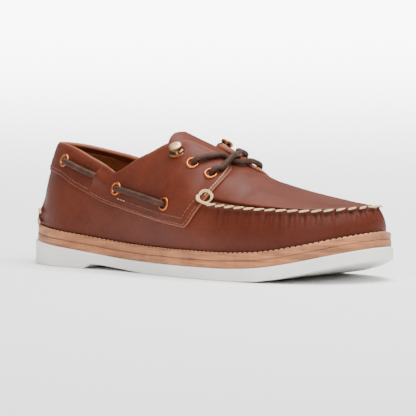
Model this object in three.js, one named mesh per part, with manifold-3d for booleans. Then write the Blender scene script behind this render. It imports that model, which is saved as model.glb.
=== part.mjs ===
// A right boat shoe with a moccasin toe: rubber cup, two leather sole layers, and a
// leather upper made over a last. Millimetres, +X to the toe, +Y to the inner (medial)
// side, +Z up. While it is built, x = 0 is the back of the midsole and z = 0 the floor;
// the outer group then moves the origin under the middle of the shoe.
import * as THREE from 'three';
import { mergeVertices } from 'three/addons/utils/BufferGeometryUtils.js';
import Module from 'manifold-3d';

const wasm = await Module();
wasm.setup();

// ---------------------------------------------------------------- driving dimensions
const LENGTH = 300;         // midsole, heel to toe
const TOE_SIDE = 7;         // the toe's point lies this far to the inner side
const LEDGE = 3.6;          // sole layer left bare round the upper
const WALL = 2.2;           // upper leather with its lining
const OVERLAY = 1.8;        // quarter panels, proud of the upper
const BAND = 1.2;           // heel band, proud of the upper
const GAP = 0.3;            // between pieces that lie on each other
const LAYER = 5.0;          // each of the two leather sole layers
const RUBBER_OUTSET = 1.4;  // rubber sole outside the leather layers
const INSOLE = 3.0;         // insole board and its cover
const TONGUE = 2.2;         // tongue leather
const LACE = 4.2;           // lace diameter
const EYELET = { flange: 9.8, barrel: 6.4, hole: 5.4, proud: 1.0, depth: 3.6 };
const STUD = { base: 11.4, neck: 7.4, cap: 9.4, height: 6.2, capHeight: 2.2 };

// Half widths of the midsole on each side of the heel-to-toe line.
const PLAN = [
  { x: 12, lateral: 25.5, medial: 25.5 },
  { x: 36, lateral: 36.5, medial: 36.0 },
  { x: 70, lateral: 38.0, medial: 35.5 },
  { x: 105, lateral: 39.5, medial: 33.0 },
  { x: 140, lateral: 45.5, medial: 37.0 },
  { x: 175, lateral: 51.5, medial: 44.0 },
  { x: 205, lateral: 54.0, medial: 49.5 },
  { x: 235, lateral: 51.5, medial: 51.5 },
  { x: 262, lateral: 43.5, medial: 47.5 },
  { x: 284, lateral: 28.5, medial: 36.0 },
  { x: 296, lateral: 10.5, medial: 23.5 },
];

// Height of the joint between the rubber and the leather layers.
const RUBBER_TOP = [
  { x: 0, z: 17.6 },
  { x: 35, z: 14.8 },
  { x: 70, z: 11.8 },
  { x: 105, z: 9.0 },
  { x: 140, z: 8.2 },
  { x: 180, z: 8.2 },
  { x: 214, z: 8.8 },
  { x: 240, z: 10.8 },
  { x: 264, z: 15.2 },
  { x: 284, z: 20.2 },
  { x: 300, z: 24.5 },
];

// The sole's underside: bevelled heel, slanted breast, short arch, ball and toe spring.
const UNDERSIDE = [
  { x: -5, z: 3.0 },
  { x: 3, z: 1.0 },
  { x: 12, z: 0 },
  { x: 66, z: 0 },
  { x: 73, z: 3.6 },
  { x: 84, z: 3.3 },
  { x: 100, z: 2.0 },
  { x: 118, z: 0.6 },
  { x: 132, z: 0 },
  { x: 216, z: 0 },
  { x: 238, z: 1.0 },
  { x: 252, z: 3.2 },
  { x: 268, z: 7.0 },
  { x: 284, z: 11.5 },
  { x: 305, z: 17.3 },
];

// The last's centre line: its height, and the fullness of the section across it
// (2 is an ellipse, larger is squarer).
const RIDGE = [
  { x: 42, z: 124, fullness: 1.6 },
  { x: 70, z: 117, fullness: 1.75 },
  { x: 100, z: 109, fullness: 2.05 },
  { x: 127, z: 99.5, fullness: 2.45 },
  { x: 146, z: 92.5, fullness: 2.8 },
  { x: 164, z: 84, fullness: 2.8 },
  { x: 180, z: 75.5, fullness: 2.7 },
  { x: 199, z: 68, fullness: 2.7 },
  { x: 231, z: 59.5, fullness: 2.7 },
  { x: 258, z: 55, fullness: 2.7 },
];

// How far the upper's wall swells past the straight line up from the sole.
const SWELL = [
  { x: 0, out: 0 },
  { x: 40, out: 1.0 },
  { x: 100, out: 3.5 },
  { x: 160, out: 3.0 },
  { x: 260, out: 1.4 },
  { x: 300, out: 0.3 },
];

// Moccasin seam: height, and distance inward from the upper's foot.
const MOC_SEAM = [
  { x: 150, z: 54, inset: 4.5 },
  { x: 205, z: 51, inset: 5.0 },
  { x: 250, z: 49.8, inset: 6.0 },
  { x: 280, z: 49.8, inset: 6.2 },
  { x: 300, z: 51.5, inset: 6.0 },
];
const SEAM_ROW = 0.4;       // the seam's place up a column of the last
const MOC_FROM = 150;       // the section turns from rounded to moccasin between these
const MOC_TO = 192;
const FACING_LIFT = 2.5;    // the outer facing springs up from the tongue by this much

// The collar's rim, seen from the side, on the outer and the inner side of the foot.
const RIM = [
  { x: 8, lateral: 88.6, medial: 88.2 },
  { x: 18, lateral: 88.8, medial: 86.6 },
  { x: 31, lateral: 88.4, medial: 83.6 },
  { x: 43, lateral: 86.6, medial: 81.2 },
  { x: 54, lateral: 83.6, medial: 79.4 },
  { x: 64, lateral: 80.2, medial: 77.4 },
  { x: 75, lateral: 76.8, medial: 74.8 },
  { x: 85, lateral: 73.2, medial: 72.2 },
  { x: 92, lateral: 70.8, medial: 70.6 },
  { x: 97, lateral: 73.2, medial: 72.8 },
  { x: 109, lateral: 81.6, medial: 80.0 },
  { x: 121, lateral: 87.8, medial: 85.6 },
  { x: 130, lateral: 92.4, medial: 88.2 },
  { x: 139, lateral: 94.8, medial: 89.6 },
  { x: 146, lateral: 96.4, medial: 91.6 },
  { x: 153, lateral: 101.0, medial: 99.0 },
];

// Half width of the gap between the two facings, from the centre line.
const FACING = [
  { x: 112, half: 14 },
  { x: 128, half: 18 },
  { x: 138, half: 18.5 },
  { x: 147, half: 16.2 },
  { x: 156, half: 13.8 },
  { x: 165, half: 11.4 },
  { x: 174, half: 9.6 },
  { x: 190, half: 9.0 },
];

const FACES = {
  rubber: { color: 0xdedbd2, roughness: 0.75, metalness: 0 },
  tan: { color: 0xc8966f, roughness: 0.7, metalness: 0 },
  leather: { color: 0x75392a, roughness: 0.45, metalness: 0 },
  lining: { color: 0x70401f, roughness: 0.8, metalness: 0 },
  lace: { color: 0x4f4136, roughness: 0.8, metalness: 0 },
  copper: { color: 0xb8703c, roughness: 0.35, metalness: 1 },
  gold: { color: 0xe2cba2, roughness: 0.3, metalness: 1 },
};

// ---------------------------------------------------------------- curves through rows
// Smooth curve through [t, value] pairs; a period closes it on itself.
function through(pairs, period = 0) {
  const count = pairs.length;
  const at = (i) => {
    const turn = Math.floor(i / count);
    const [t, value] = pairs[i - turn * count];
    return [t + turn * period, value];
  };
  const clampEnd = (i) => (period ? i : Math.min(Math.max(i, 0), count - 1));
  const slope = (i) => {
    const [t0, v0] = at(clampEnd(i - 1));
    const [t1, v1] = at(i);
    const [t2, v2] = at(clampEnd(i + 1));
    if (t0 === t1 || t1 === t2) return (v2 - v0) / (t2 - t0);
    const before = (v1 - v0) / (t1 - t0);
    const after = (v2 - v1) / (t2 - t1);
    return (after * (t1 - t0) + before * (t2 - t1)) / (t2 - t0);
  };
  return (t) => {
    if (!period && t <= pairs[0][0]) return pairs[0][1];
    if (!period && t >= pairs[count - 1][0]) return pairs[count - 1][1];
    const place = period ? THREE.MathUtils.euclideanModulo(t, period) : t;
    let i = 0;
    while (i < count - 1 && pairs[i + 1][0] <= place) i += 1;
    const [t0, v0] = at(i);
    const [t1, v1] = at(i + 1);
    const span = t1 - t0;
    const u = (place - t0) / span;
    return (1 + 2 * u) * (1 - u) ** 2 * v0 + u * (1 - u) ** 2 * span * slope(i)
      + u * u * (3 - 2 * u) * v1 + u * u * (u - 1) * span * slope(i + 1);
  };
}

function column(rows, key) {
  return through(rows.map((row) => [row.x, row[key]]));
}

const rubberTop = column(RUBBER_TOP, 'z');
const ridgeHeight = column(RIDGE, 'z');
const fullness = column(RIDGE, 'fullness');
const swell = column(SWELL, 'out');
const seamHeight = column(MOC_SEAM, 'z');
const seamInset = column(MOC_SEAM, 'inset');
const facingHalf = column(FACING, 'half');
const rimLateral = column(RIM, 'lateral');
const rimMedial = column(RIM, 'medial');

// ---------------------------------------------------------------- plan of the sole
// The turn runs from 0 at the heel, along the medial side, to PI at the toe and back.
const turnAt = (x, side) => (side > 0 ? 1 : -1) * Math.acos(1 - (2 * x) / LENGTH);
const lengthAt = (turn) => (LENGTH / 2) * (1 - Math.cos(turn));

const sideways = through([
  [0, 0],
  ...PLAN.map((row) => [turnAt(row.x, 1), row.medial]),
  [Math.PI, TOE_SIDE],
  ...PLAN.toReversed().map((row) => [2 * Math.PI + turnAt(row.x, -1), -row.lateral]),
], 2 * Math.PI);

// The midsole's edge at a turn, moved inward by an inset.
function edge(turn, inset = 0) {
  const step = 1e-4;
  const along = new THREE.Vector2(
    lengthAt(turn + step) - lengthAt(turn - step),
    sideways(turn + step) - sideways(turn - step),
  ).normalize();
  return new THREE.Vector2(
    lengthAt(turn) + along.y * inset,
    sideways(turn) - along.x * inset,
  );
}

// ---------------------------------------------------------------- the last
const COLUMNS = 56;
const ROWS = [0, 0.06, 0.13, 0.2, 0.27, 0.34, SEAM_ROW, 0.47, 0.54, 0.62, 0.7, 0.79, 0.9, 1];
const BASE = -5;            // the last's sides run straight down to this height

// The columns fan round the heel and the toe, so the centre line is shorter.
function ridgePlace(x) {
  const t = x / LENGTH;
  return 42 + 216 * (0.62 * t + 0.38 * t * t * (3 - 2 * t));
}

function ridgeSide(x) {
  return TOE_SIDE * 0.8 * THREE.MathUtils.smoothstep(x, 120, 280);
}

// How far the outer facing stands off the last at a place on it.
function facingLift(turn, x, up) {
  const { smoothstep } = THREE.MathUtils;
  if (Math.sin(turn) >= 0) return 0;
  return FACING_LIFT * smoothstep(x, 104, 140) * (1 - smoothstep(x, 176, 190))
    * smoothstep(up, 0.52, 0.8) * (1 - smoothstep(up, 0.9, 1));
}

// A point on the last: a turn round the plan, and up = 0 at the sole to 1 on the ridge.
// A sprung point follows the facing where it stands off the last.
function lastPoint(turn, up, offset = 0, sprung = true) {
  const x = lengthAt(turn);
  const foot = edge(turn, LEDGE - offset);
  const ridge = new THREE.Vector2(ridgePlace(x), ridgeSide(x));
  const low = rubberTop(x) + 2 * LAYER + 2 * GAP;
  const high = ridgeHeight(ridge.x) + offset;
  const reach = foot.distanceTo(ridge);

  const angle = (up * Math.PI) / 2;
  const full = fullness(x);
  const size = (Math.cos(angle) ** full + Math.sin(angle) ** full) ** (-1 / full);
  const lift = Math.sin(angle) * size;
  const round = {
    out: Math.cos(angle) * size
      + (lift < 0.8 ? (swell(x) / reach) * Math.sin((Math.PI * lift) / 0.8) : 0),
    z: low + (high - low) * lift,
  };

  const seamOut = 1 - seamInset(x) / reach;
  const seamZ = seamHeight(x) + offset * 0.6;
  const wall = Math.min(up / SEAM_ROW, 1);
  const crown = Math.max((up - SEAM_ROW) / (1 - SEAM_ROW), 0);
  const moc = {
    out: (1 + (seamOut - 1) * wall ** 2.2 + (swell(x) / reach) * Math.sin(Math.PI * wall))
      * (1 - crown),
    z: low + (seamZ - low) * wall + (high - seamZ) * (1 - (1 - crown) ** 2),
  };

  const blend = THREE.MathUtils.smoothstep(x, MOC_FROM, MOC_TO);
  const out = round.out + (moc.out - round.out) * blend;
  const z = round.z + (moc.z - round.z) * blend;
  return new THREE.Vector3(
    ridge.x + (foot.x - ridge.x) * out,
    ridge.y + (foot.y - ridge.y) * out,
    z + (sprung ? facingLift(turn, x, up) : 0),
  );
}

// The whole last as a closed surface: rows up the columns, its base closed lengthwise.
function lastGeometry(offset, sprung) {
  const rings = [];
  for (let i = 0; i < COLUMNS; i += 1) {
    const turn = (2 * Math.PI * Math.min(i, COLUMNS - i)) / COLUMNS * (i > COLUMNS / 2 ? -1 : 1);
    const x = lengthAt(turn);
    const foot = lastPoint(turn, 0, offset);
    const base = BASE + offset;
    const ring = [new THREE.Vector3(ridgePlace(x), ridgeSide(x), base)];
    ring.push(new THREE.Vector3(foot.x, foot.y, base));
    for (const up of ROWS) ring.push(lastPoint(turn, up, offset, sprung));
    ring[ring.length - 1].setX(ridgePlace(x)).setY(ridgeSide(x));
    rings.push(ring);
  }
  return gridGeometry(rings, true);
}

// Triangles between neighbouring rings of points.
function gridGeometry(rings, closed) {
  const points = rings.flat();
  const width = rings[0].length;
  const index = [];
  const last = closed ? rings.length : rings.length - 1;
  for (let i = 0; i < last; i += 1) {
    for (let j = 0; j < width - 1; j += 1) {
      const a = i * width + j;
      const b = ((i + 1) % rings.length) * width + j;
      index.push(a, a + 1, b + 1, a, b + 1, b);
    }
  }
  const geometry = new THREE.BufferGeometry().setFromPoints(points);
  geometry.setIndex(index);
  return geometry;
}

// ---------------------------------------------------------------- solids
function solid(geometry) {
  geometry.deleteAttribute('normal');
  geometry.deleteAttribute('uv');
  const merged = mergeVertices(geometry, 1e-3);
  const faces = merged.index.array;
  const kept = [];
  for (let i = 0; i < faces.length; i += 3) {
    const [a, b, c] = faces.slice(i, i + 3);
    if (a !== b && b !== c && c !== a) kept.push(a, b, c);
  }
  const build = (triVerts) => new wasm.Manifold(new wasm.Mesh({
    numProp: 3,
    vertProperties: Float32Array.from(merged.attributes.position.array),
    triVerts: Uint32Array.from(triVerts),
  }));
  const body = build(kept);
  return body.volume() > 0 ? body : build(kept.toReversed());
}

function geometryOf(body) {
  const mesh = body.getMesh();
  const geometry = new THREE.BufferGeometry();
  geometry.setAttribute('position', new THREE.BufferAttribute(mesh.vertProperties, 3));
  geometry.setIndex(new THREE.BufferAttribute(mesh.triVerts, 1));
  return geometry;
}

// Upright solid over a plan outline of Vector2 points.
function planPrism(points, bottom = -10, top = 160) {
  const geometry = new THREE.ExtrudeGeometry(new THREE.Shape(points), {
    depth: top - bottom,
    bevelEnabled: false,
  });
  return solid(geometry.translate(0, 0, bottom));
}

// Solid over an outline of (x, z) points, running sideways from one y to another.
function sidePrism(points, from = -80, to = 80) {
  const geometry = new THREE.ExtrudeGeometry(new THREE.Shape(points), {
    depth: to - from,
    bevelEnabled: false,
  });
  return solid(geometry.rotateX(Math.PI / 2).translate(0, to, 0));
}

function soleOutline(inset, count = 84) {
  const points = [];
  for (let i = 0; i < count; i += 1) points.push(edge((2 * Math.PI * i) / count, inset));
  return points;
}

// Lengthwise stations, closer together where the sole bends.
const STATIONS = [-6, ...Array.from({ length: 30 }, (_, i) => i * 10 + 5), 306];

function layerSide(bottom, top) {
  return sidePrism([
    ...STATIONS.map((x) => new THREE.Vector2(x, bottom(x))),
    ...STATIONS.toReversed().map((x) => new THREE.Vector2(x, top(x))),
  ]);
}

const layerBottom = (x) => rubberTop(x) + GAP;
const layerMiddle = (x) => rubberTop(x) + GAP + LAYER;
const layerTop = (x) => rubberTop(x) + 2 * (GAP + LAYER);

// ---------------------------------------------------------------- sole
function outsole() {
  const side = sidePrism([
    ...UNDERSIDE.map((row) => new THREE.Vector2(row.x, row.z)),
    ...STATIONS.toReversed().map((x) => new THREE.Vector2(x, rubberTop(x))),
  ]);
  let body = planPrism(soleOutline(-RUBBER_OUTSET)).intersect(side);
  for (const x of TREAD_PLACES) {
    body = body.subtract(treadGroove(x));
  }
  return body;
}

// Where the tread's grooves lie, under the heel and under the ball of the foot.
const TREAD_PLACES = [22, 34, 46, 58, 146, 158, 170, 182, 194, 206];

// A groove across the tread, stopping short of the sole's edge.
function treadGroove(x) {
  const groove = { width: 2.0, depth: 1.6, margin: 9 };
  const half = treadSpan(x, groove.margin);
  const box = new THREE.BoxGeometry(groove.width, half.width, groove.depth * 2);
  return solid(box.translate(x, half.centre, 0));
}

function treadSpan(x, margin) {
  const inner = sideways(turnAt(x, 1)) - margin;
  const outer = sideways(turnAt(x, -1)) + margin;
  return { width: inner - outer, centre: (inner + outer) / 2 };
}

function soleLayer(inset, bottom, top) {
  return planPrism(soleOutline(inset)).intersect(layerSide(bottom, top));
}

function insole() {
  const inset = LEDGE + WALL + 2 * GAP;
  return soleLayer(inset, (x) => layerTop(x) + GAP, (x) => layerTop(x) + GAP + INSOLE);
}

// ---------------------------------------------------------------- upper
// Leather of one thickness over the last, between two distances from it.
function sheet(inside, outside, sprung = true) {
  return solid(lastGeometry(outside, sprung)).subtract(solid(lastGeometry(inside, sprung)));
}

// Everything above the collar's rim, as one solid over a grid.
function aboveRim() {
  const across = [-80, -24, -14, -7, 0, 7, 14, 24, 80];
  const along = [-6, 2, ...RIM.map((row) => row.x)];
  const rings = along.map((x) => {
    const low = across.map((y) => {
      const medial = THREE.MathUtils.smoothstep(y, -14, 14);
      const z = rimLateral(x) * (1 - medial) + rimMedial(x) * medial;
      return new THREE.Vector3(x, y, z);
    });
    const high = across.toReversed().map((y) => new THREE.Vector3(x, y, 170));
    return [...low, ...high, low[0].clone()];
  });
  const capped = [flattened(rings[0]), ...rings, flattened(rings.at(-1))];
  return solid(gridGeometry(capped, false));
}

// A ring drawn in to its own middle, which closes the end of a tube of rings.
function flattened(ring) {
  const middle = ring.slice(0, -1)
    .reduce((sum, point) => sum.add(point), new THREE.Vector3())
    .divideScalar(ring.length - 1);
  return ring.map(() => middle.clone());
}

// The gap between the facings, as an upright solid with a rounded front end.
function throat(front) {
  const stations = [112, 120, 128, 138, 147, 156, 165, front - 5];
  const side = (sign) => stations.map((x) => new THREE.Vector2(
    x,
    ridgeSide(x) + sign * facingHalf(x),
  ));
  const centre = ridgeSide(front);
  const half = facingHalf(front);
  const tip = [-0.8, -0.4, 0.4, 0.8].map((part) => new THREE.Vector2(
    front - 5 + 5 * Math.sqrt(1 - part * part),
    centre + part * half,
  ));
  return planPrism([...side(-1), ...tip, ...side(1).toReversed()], 55, 170);
}

function upper() {
  const shell = sheet(-WALL, 0);
  const aboveSole = sidePrism([
    ...STATIONS.map((x) => new THREE.Vector2(x, layerTop(x) + GAP)),
    new THREE.Vector2(306, 170),
    new THREE.Vector2(-6, 170),
  ]);
  return shell
    .intersect(aboveSole)
    .subtract(aboveRim())
    .subtract(throat(176))
    .subtract(eyeletHoles(-1, Object.keys(PLACES)))
    .subtract(eyeletHoles(1, Object.keys(PLACES)));
}

// Outline, from the side, of the quarter panel and of the band that carries it round
// the heel. Both share the long line that falls from the heel to the panel's corner.
const LOWER_LINE = [
  { x: -10, z: 66.6 },
  { x: 26, z: 66.6 },
  { x: 34, z: 65.2 },
  { x: 50, z: 58.9 },
  { x: 67, z: 53.4 },
  { x: 83, z: 48.4 },
  { x: 100, z: 45.0 },
  { x: 120, z: 41.6 },
  { x: 148, z: 37.4 },
  { x: 169, z: 35.2 },
];
const lowerLine = column(LOWER_LINE, 'z');
const QUARTER_REAR = [
  { x: 69, z: 40 },
  { x: 69, z: 56 },
  { x: 72, z: 60 },
  { x: 73, z: 68 },
  { x: 77, z: 74 },
  { x: 80, z: 110 },
];
const QUARTER_FRONT = [
  { x: 171, z: 35.3 },
  { x: 173.8, z: 37.4 },
  { x: 182.6, z: 53.2 },
  { x: 185, z: 59 },
  { x: 185.2, z: 66 },
  { x: 184.4, z: 71 },
  { x: 182.2, z: 75.2 },
  { x: 180, z: 78.2 },
  { x: 178.5, z: 110 },
];
const vector = (row) => new THREE.Vector2(row.x, row.z);

function quarter(side) {
  const low = [69, 83, 100, 120, 148, 169].map((x) => new THREE.Vector2(x, lowerLine(x)));
  const outline = sidePrism([
    ...low,
    ...QUARTER_FRONT.map(vector),
    ...QUARTER_REAR.slice(2).toReversed().map(vector),
  ], side > 0 ? 3 : -80, side > 0 ? 80 : 3);
  return sheet(GAP, GAP + OVERLAY)
    .intersect(outline)
    .subtract(aboveRim())
    .subtract(throat(190))
    .subtract(eyeletHoles(side, ['throat_rear', 'throat_front', 'side_rear', 'side_front']));
}

function heelBand() {
  const back = [-10, 26, 34, 50, 68].map((x) => new THREE.Vector2(x, lowerLine(x)));
  const front = QUARTER_REAR.slice(1).map((row) => new THREE.Vector2(row.x - GAP - 0.3, row.z));
  const outline = sidePrism([...back, ...front, new THREE.Vector2(-10, 110)]);
  return sheet(GAP, GAP + BAND)
    .intersect(outline)
    .subtract(aboveRim())
    .subtract(eyeletHoles(-1, ['heel']))
    .subtract(eyeletHoles(1, ['heel']));
}

// The tongue lies under the facings and ends in a round tip behind them.
function tongue() {
  const body = sheet(-WALL - GAP - TONGUE, -WALL - GAP, false);
  const half = 24;
  const tip = { x: 126, length: 15 };
  const points = [new THREE.Vector2(205, -half + 4), new THREE.Vector2(205, half + 4)];
  for (let i = 0; i <= 8; i += 1) {
    const angle = (Math.PI * i) / 8;
    const x = tip.x + tip.length * (1 - Math.sin(angle));
    points.push(new THREE.Vector2(x, ridgeSide(x) + half * Math.cos(angle)));
  }
  return body.intersect(planPrism(points, 50, 170));
}

// ---------------------------------------------------------------- hardware and laces
// Where the hardware sits: along the foot, and up the last's column.
const PLACES = {
  throat_rear: { x: 162, up: 0.597, under: OVERLAY },
  throat_front: { x: 178, up: 0.626, under: OVERLAY },
  side_rear: { x: 96, up: 0.28, under: OVERLAY },
  side_front: { x: 149, up: 0.264, under: OVERLAY },
  heel: { x: 31, up: 0.379, under: BAND },
};
const STUD_PLACE = { x: 145, up: 0.6, under: OVERLAY };
const TUNNEL = { x: 67, up: 0.33, under: BAND };  // where the heel lace goes under the panel
const SIDES = { lateral: -1, medial: 1 };

// Place on the leather's face and the outward normal there.
function seat({ x, up, under }, side) {
  const turn = turnAt(x, side);
  const offset = GAP + under;
  const step = 1e-3;
  const point = lastPoint(turn, up, offset);
  const round = lastPoint(turn + step, up, offset).sub(lastPoint(turn - step, up, offset));
  const rise = lastPoint(turn, up + step, offset).sub(lastPoint(turn, up - step, offset));
  const normal = new THREE.Vector3().crossVectors(round, rise).normalize();
  if (normal.y * side < 0) normal.negate();
  return { point, normal };
}

// Turns a lathed body's own +Y to the seat's normal and stands it there.
function onSeat(geometry, { point, normal }) {
  const turn = new THREE.Quaternion().setFromUnitVectors(new THREE.Vector3(0, 1, 0), normal);
  return solid(geometry.applyQuaternion(turn).translate(point.x, point.y, point.z));
}

function lathe(profile, segments) {
  return new THREE.LatheGeometry(profile.map(([r, h]) => new THREE.Vector2(r, h)), segments);
}

const CLEAR = 0.6;          // the hardware's flanges above the curved leather
const HOLE_ROOM = 0.45;     // round an eyelet's barrel in its hole

function eyelet(place) {
  const { flange, barrel, hole, proud, depth } = EYELET;
  return onSeat(lathe([
    [hole / 2, -depth],
    [barrel / 2, -depth],
    [barrel / 2, CLEAR],
    [flange / 2, CLEAR],
    [flange / 2 - 0.3, CLEAR + proud * 0.7],
    [flange / 2 - 1.0, CLEAR + proud],
    [hole / 2, CLEAR + proud * 0.8],
    [hole / 2, -depth],
  ], 12), place);
}

// A post stud: a flanged foot, a neck and a domed cap.
function stud(place) {
  const { base, neck, cap, height, capHeight } = STUD;
  const under = height - capHeight;
  return onSeat(lathe([
    [0, CLEAR],
    [base / 2, CLEAR],
    [base / 2, CLEAR + 1.0],
    [neck / 2 + 0.4, CLEAR + 1.5],
    [neck / 2, under],
    [cap / 2 - 0.6, under],
    [cap / 2, under + 0.8],
    [cap / 2 - 0.7, height - 0.7],
    [cap / 4, height],
    [0, height + 0.1],
  ], 12), place);
}

// The holes that the eyelets' barrels pass through.
function eyeletHoles(side, names) {
  const radius = EYELET.barrel / 2 + HOLE_ROOM;
  const holes = names.map((name) => onSeat(lathe([
    [0, -8],
    [radius, -8],
    [radius, 4],
    [0, 4],
  ], 10), seat(PLACES[name], side)));
  return holes.reduce((all, hole) => all.add(hole));
}

const EDGES = 6;
const laceSection = new THREE.Shape(Array.from({ length: EDGES }, (_, i) => {
  const angle = (2 * Math.PI * (i + 0.5)) / EDGES;
  return new THREE.Vector2(Math.cos(angle), Math.sin(angle)).multiplyScalar(LACE / 2);
}));

function laceAlong(points, steps) {
  const path = new THREE.CatmullRomCurve3(points, false, 'centripetal');
  return solid(new THREE.ExtrudeGeometry(laceSection, { steps, extrudePath: path }));
}

// A lace's way out of an eyelet, towards another place.
function laceEnd({ point, normal }, towards) {
  const way = towards.clone().sub(point);
  way.addScaledVector(normal, -way.dot(normal)).normalize();
  const at = (height, along) => point.clone().addScaledVector(normal, height)
    .addScaledVector(way, along);
  return [at(-1.2, 0), at(1.4, 0), at(3.5, 1.3), at(4.0, 4.0)];
}

function sideLace(side) {
  const from = seat(PLACES.side_rear, side);
  const to = seat(PLACES.side_front, side);
  const middle = seat({ x: 122, up: 0.272, under: OVERLAY }, side);
  return laceAlong([
    ...laceEnd(from, to.point),
    middle.point.addScaledVector(middle.normal, LACE / 2 + GAP + 0.4),
    ...laceEnd(to, from.point).toReversed(),
  ], 16);
}

function heelLace(side) {
  const from = seat(PLACES.heel, side);
  const to = seat(TUNNEL, side);
  const near = seat({ x: 52, up: 0.353, under: BAND }, side);
  const lift = LACE / 2 + GAP + 0.3;
  return laceAlong([
    ...laceEnd(from, to.point),
    near.point.addScaledVector(near.normal, lift),
    to.point.clone().addScaledVector(to.normal, lift),
  ], 12);
}

// The two strands that cross over the throat. The one from the front eyelet on the
// outer side passes over the other, and they touch at the outer facing's corner.
function laceCross() {
  const { lateral, medial } = SIDES;
  const over = (x, up, side) => {
    const { point, normal } = seat({ x, up, under: OVERLAY }, side);
    return point.addScaledVector(normal, LACE / 2 + GAP + 0.2);
  };
  const between = (x, y, z) => new THREE.Vector3(x, y, z);
  const strand = (fromName, toName, middle) => {
    const from = seat(PLACES[fromName], lateral);
    const to = seat(PLACES[toName], medial);
    return laceAlong([
      ...laceEnd(from, middle[0]),
      ...middle,
      ...laceEnd(to, middle.at(-1)).toReversed(),
    ], 26);
  };
  const lower = strand('throat_rear', 'throat_front', [
    over(170.5, 0.74, lateral),
    over(175.5, 0.82, lateral),
    between(177, -8, 84.7),
    between(176.6, -1, 82),
    over(180, 0.86, medial),
  ]);
  const above = strand('throat_front', 'throat_rear', [
    over(180.5, 0.76, lateral),
    between(176.6, -9.6, 88.5),
    between(172.6, -1, 87.9),
    over(170, 0.84, medial),
  ]);
  return lower.add(above);
}

// ---------------------------------------------------------------- the shoe
const shoe = new THREE.Group();
const middle = new THREE.Group();
middle.position.set(-LENGTH / 2, -shoeMiddle(), 0);
shoe.add(middle);

// Sideways middle of the rubber sole.
function shoeMiddle() {
  const sides = soleOutline(-RUBBER_OUTSET, 360).map((point) => point.y);
  return (Math.max(...sides) + Math.min(...sides)) / 2;
}

function add(name, body, face) {
  const mesh = new THREE.Mesh(geometryOf(body), new THREE.MeshStandardMaterial(FACES[face]));
  mesh.name = name;
  middle.add(mesh);
  return mesh;
}

add('outsole', outsole(), 'rubber');
add('midsole', soleLayer(0, layerBottom, layerMiddle), 'tan');
add('welt', soleLayer(0.5, (x) => layerMiddle(x) + GAP, layerTop), 'tan');
add('insole', insole(), 'lining');
add('upper', upper(), 'leather');
add('tongue', tongue(), 'leather');
add('quarter_lateral', quarter(-1), 'leather');
add('quarter_medial', quarter(1), 'leather');
add('heel_band', heelBand(), 'leather');

for (const [name, side] of Object.entries(SIDES)) {
  for (const place of Object.keys(PLACES)) {
    add(`eyelet_${place}_${name}`, eyelet(seat(PLACES[place], side)), 'copper');
  }
  add(`stud_${name}`, stud(seat(STUD_PLACE, side)), 'gold');
  add(`lace_side_${name}`, sideLace(side), 'lace');
  add(`lace_heel_${name}`, heelLace(side), 'lace');
}
add('lace_cross', laceCross(), 'lace');

export default shoe;
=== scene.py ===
"""The looks of a right boat shoe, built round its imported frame.

Sizes are in millimetres, in the frame that the shoe is built in: x runs from the back of
the midsole to the toe, y to the wearer's inner side, and z up from the floor. A piece is
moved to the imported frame, in metres, when it is finished.
"""

import logging
import math
from dataclasses import dataclass
from enum import Enum
from functools import lru_cache
from typing import Callable, ClassVar

import bmesh
import bpy
from mathutils import Matrix, Vector

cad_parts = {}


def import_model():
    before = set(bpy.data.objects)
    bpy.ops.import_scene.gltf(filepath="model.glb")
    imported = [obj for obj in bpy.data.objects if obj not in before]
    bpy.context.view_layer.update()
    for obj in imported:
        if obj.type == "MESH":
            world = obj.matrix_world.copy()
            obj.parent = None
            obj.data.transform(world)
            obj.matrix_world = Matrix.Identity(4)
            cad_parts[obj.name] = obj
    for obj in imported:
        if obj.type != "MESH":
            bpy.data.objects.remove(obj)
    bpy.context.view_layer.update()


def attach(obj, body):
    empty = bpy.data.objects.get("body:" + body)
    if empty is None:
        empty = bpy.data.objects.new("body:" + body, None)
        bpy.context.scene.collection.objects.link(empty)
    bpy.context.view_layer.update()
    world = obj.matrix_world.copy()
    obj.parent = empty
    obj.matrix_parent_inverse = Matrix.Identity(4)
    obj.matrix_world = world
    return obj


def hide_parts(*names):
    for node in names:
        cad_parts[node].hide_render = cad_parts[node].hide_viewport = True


LOG = logging.getLogger("boat_shoe")

LENGTH = 300.0  # midsole, from heel to toe
TOE_SIDE = 7.0  # how far the toe's tip lies to the inner side
LEDGE = 3.6  # welt outside the upper's foot
WALL = 2.2  # upper leather with its lining
OVERLAY = 1.8  # quarter leather
BAND = 1.2  # heel band leather
GAP = 0.3  # room between pieces that meet
LAYER = 5.0  # each leather layer of the sole
RUBBER_OUTSET = 1.4  # rubber outside the midsole
INSOLE = 3.0
TONGUE = 2.2
SEAM_ROW = 0.4  # height up the last of the moccasin seam
HEEL_SEAM = 17.0  # distance of each heel seam from the middle
UPPER_FRONT = 176.0  # where the upper's throat ends
FACING_FRONT = 190.0  # where the gap between the facings ends
RIDGE_FROM = 42.0  # where the last's centre line starts
RIDGE_RUN = 216.0  # how far the centre line runs forward
TURN = 2 * math.pi

Place = Callable[[float, float], Vector]
Share = Callable[[float, float], float]
Colour = tuple[float, float, float]


class Side(Enum):
    """The two sides of the shoe, as the sign of y."""

    LATERAL = -1
    MEDIAL = 1

    @property
    def word(self) -> str:
        """The side's name in a node."""
        return self.name.lower()


# ---------------------------------------------------------------- curves and the last
def smoothstep(value: float, low: float, high: float) -> float:
    """A smooth rise from 0 at low to 1 at high."""
    part = min(max((value - low) / (high - low), 0.0), 1.0)
    return part * part * (3 - 2 * part)


def bell(distance: float, width: float) -> float:
    """A smooth bump: 1 at no distance, fading over the width."""
    return math.exp(-((distance / width) ** 2))


def mix(a: float, b: float, part: float) -> float:
    """The value a given part of the way from a to b."""
    return a + (b - a) * part


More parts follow.
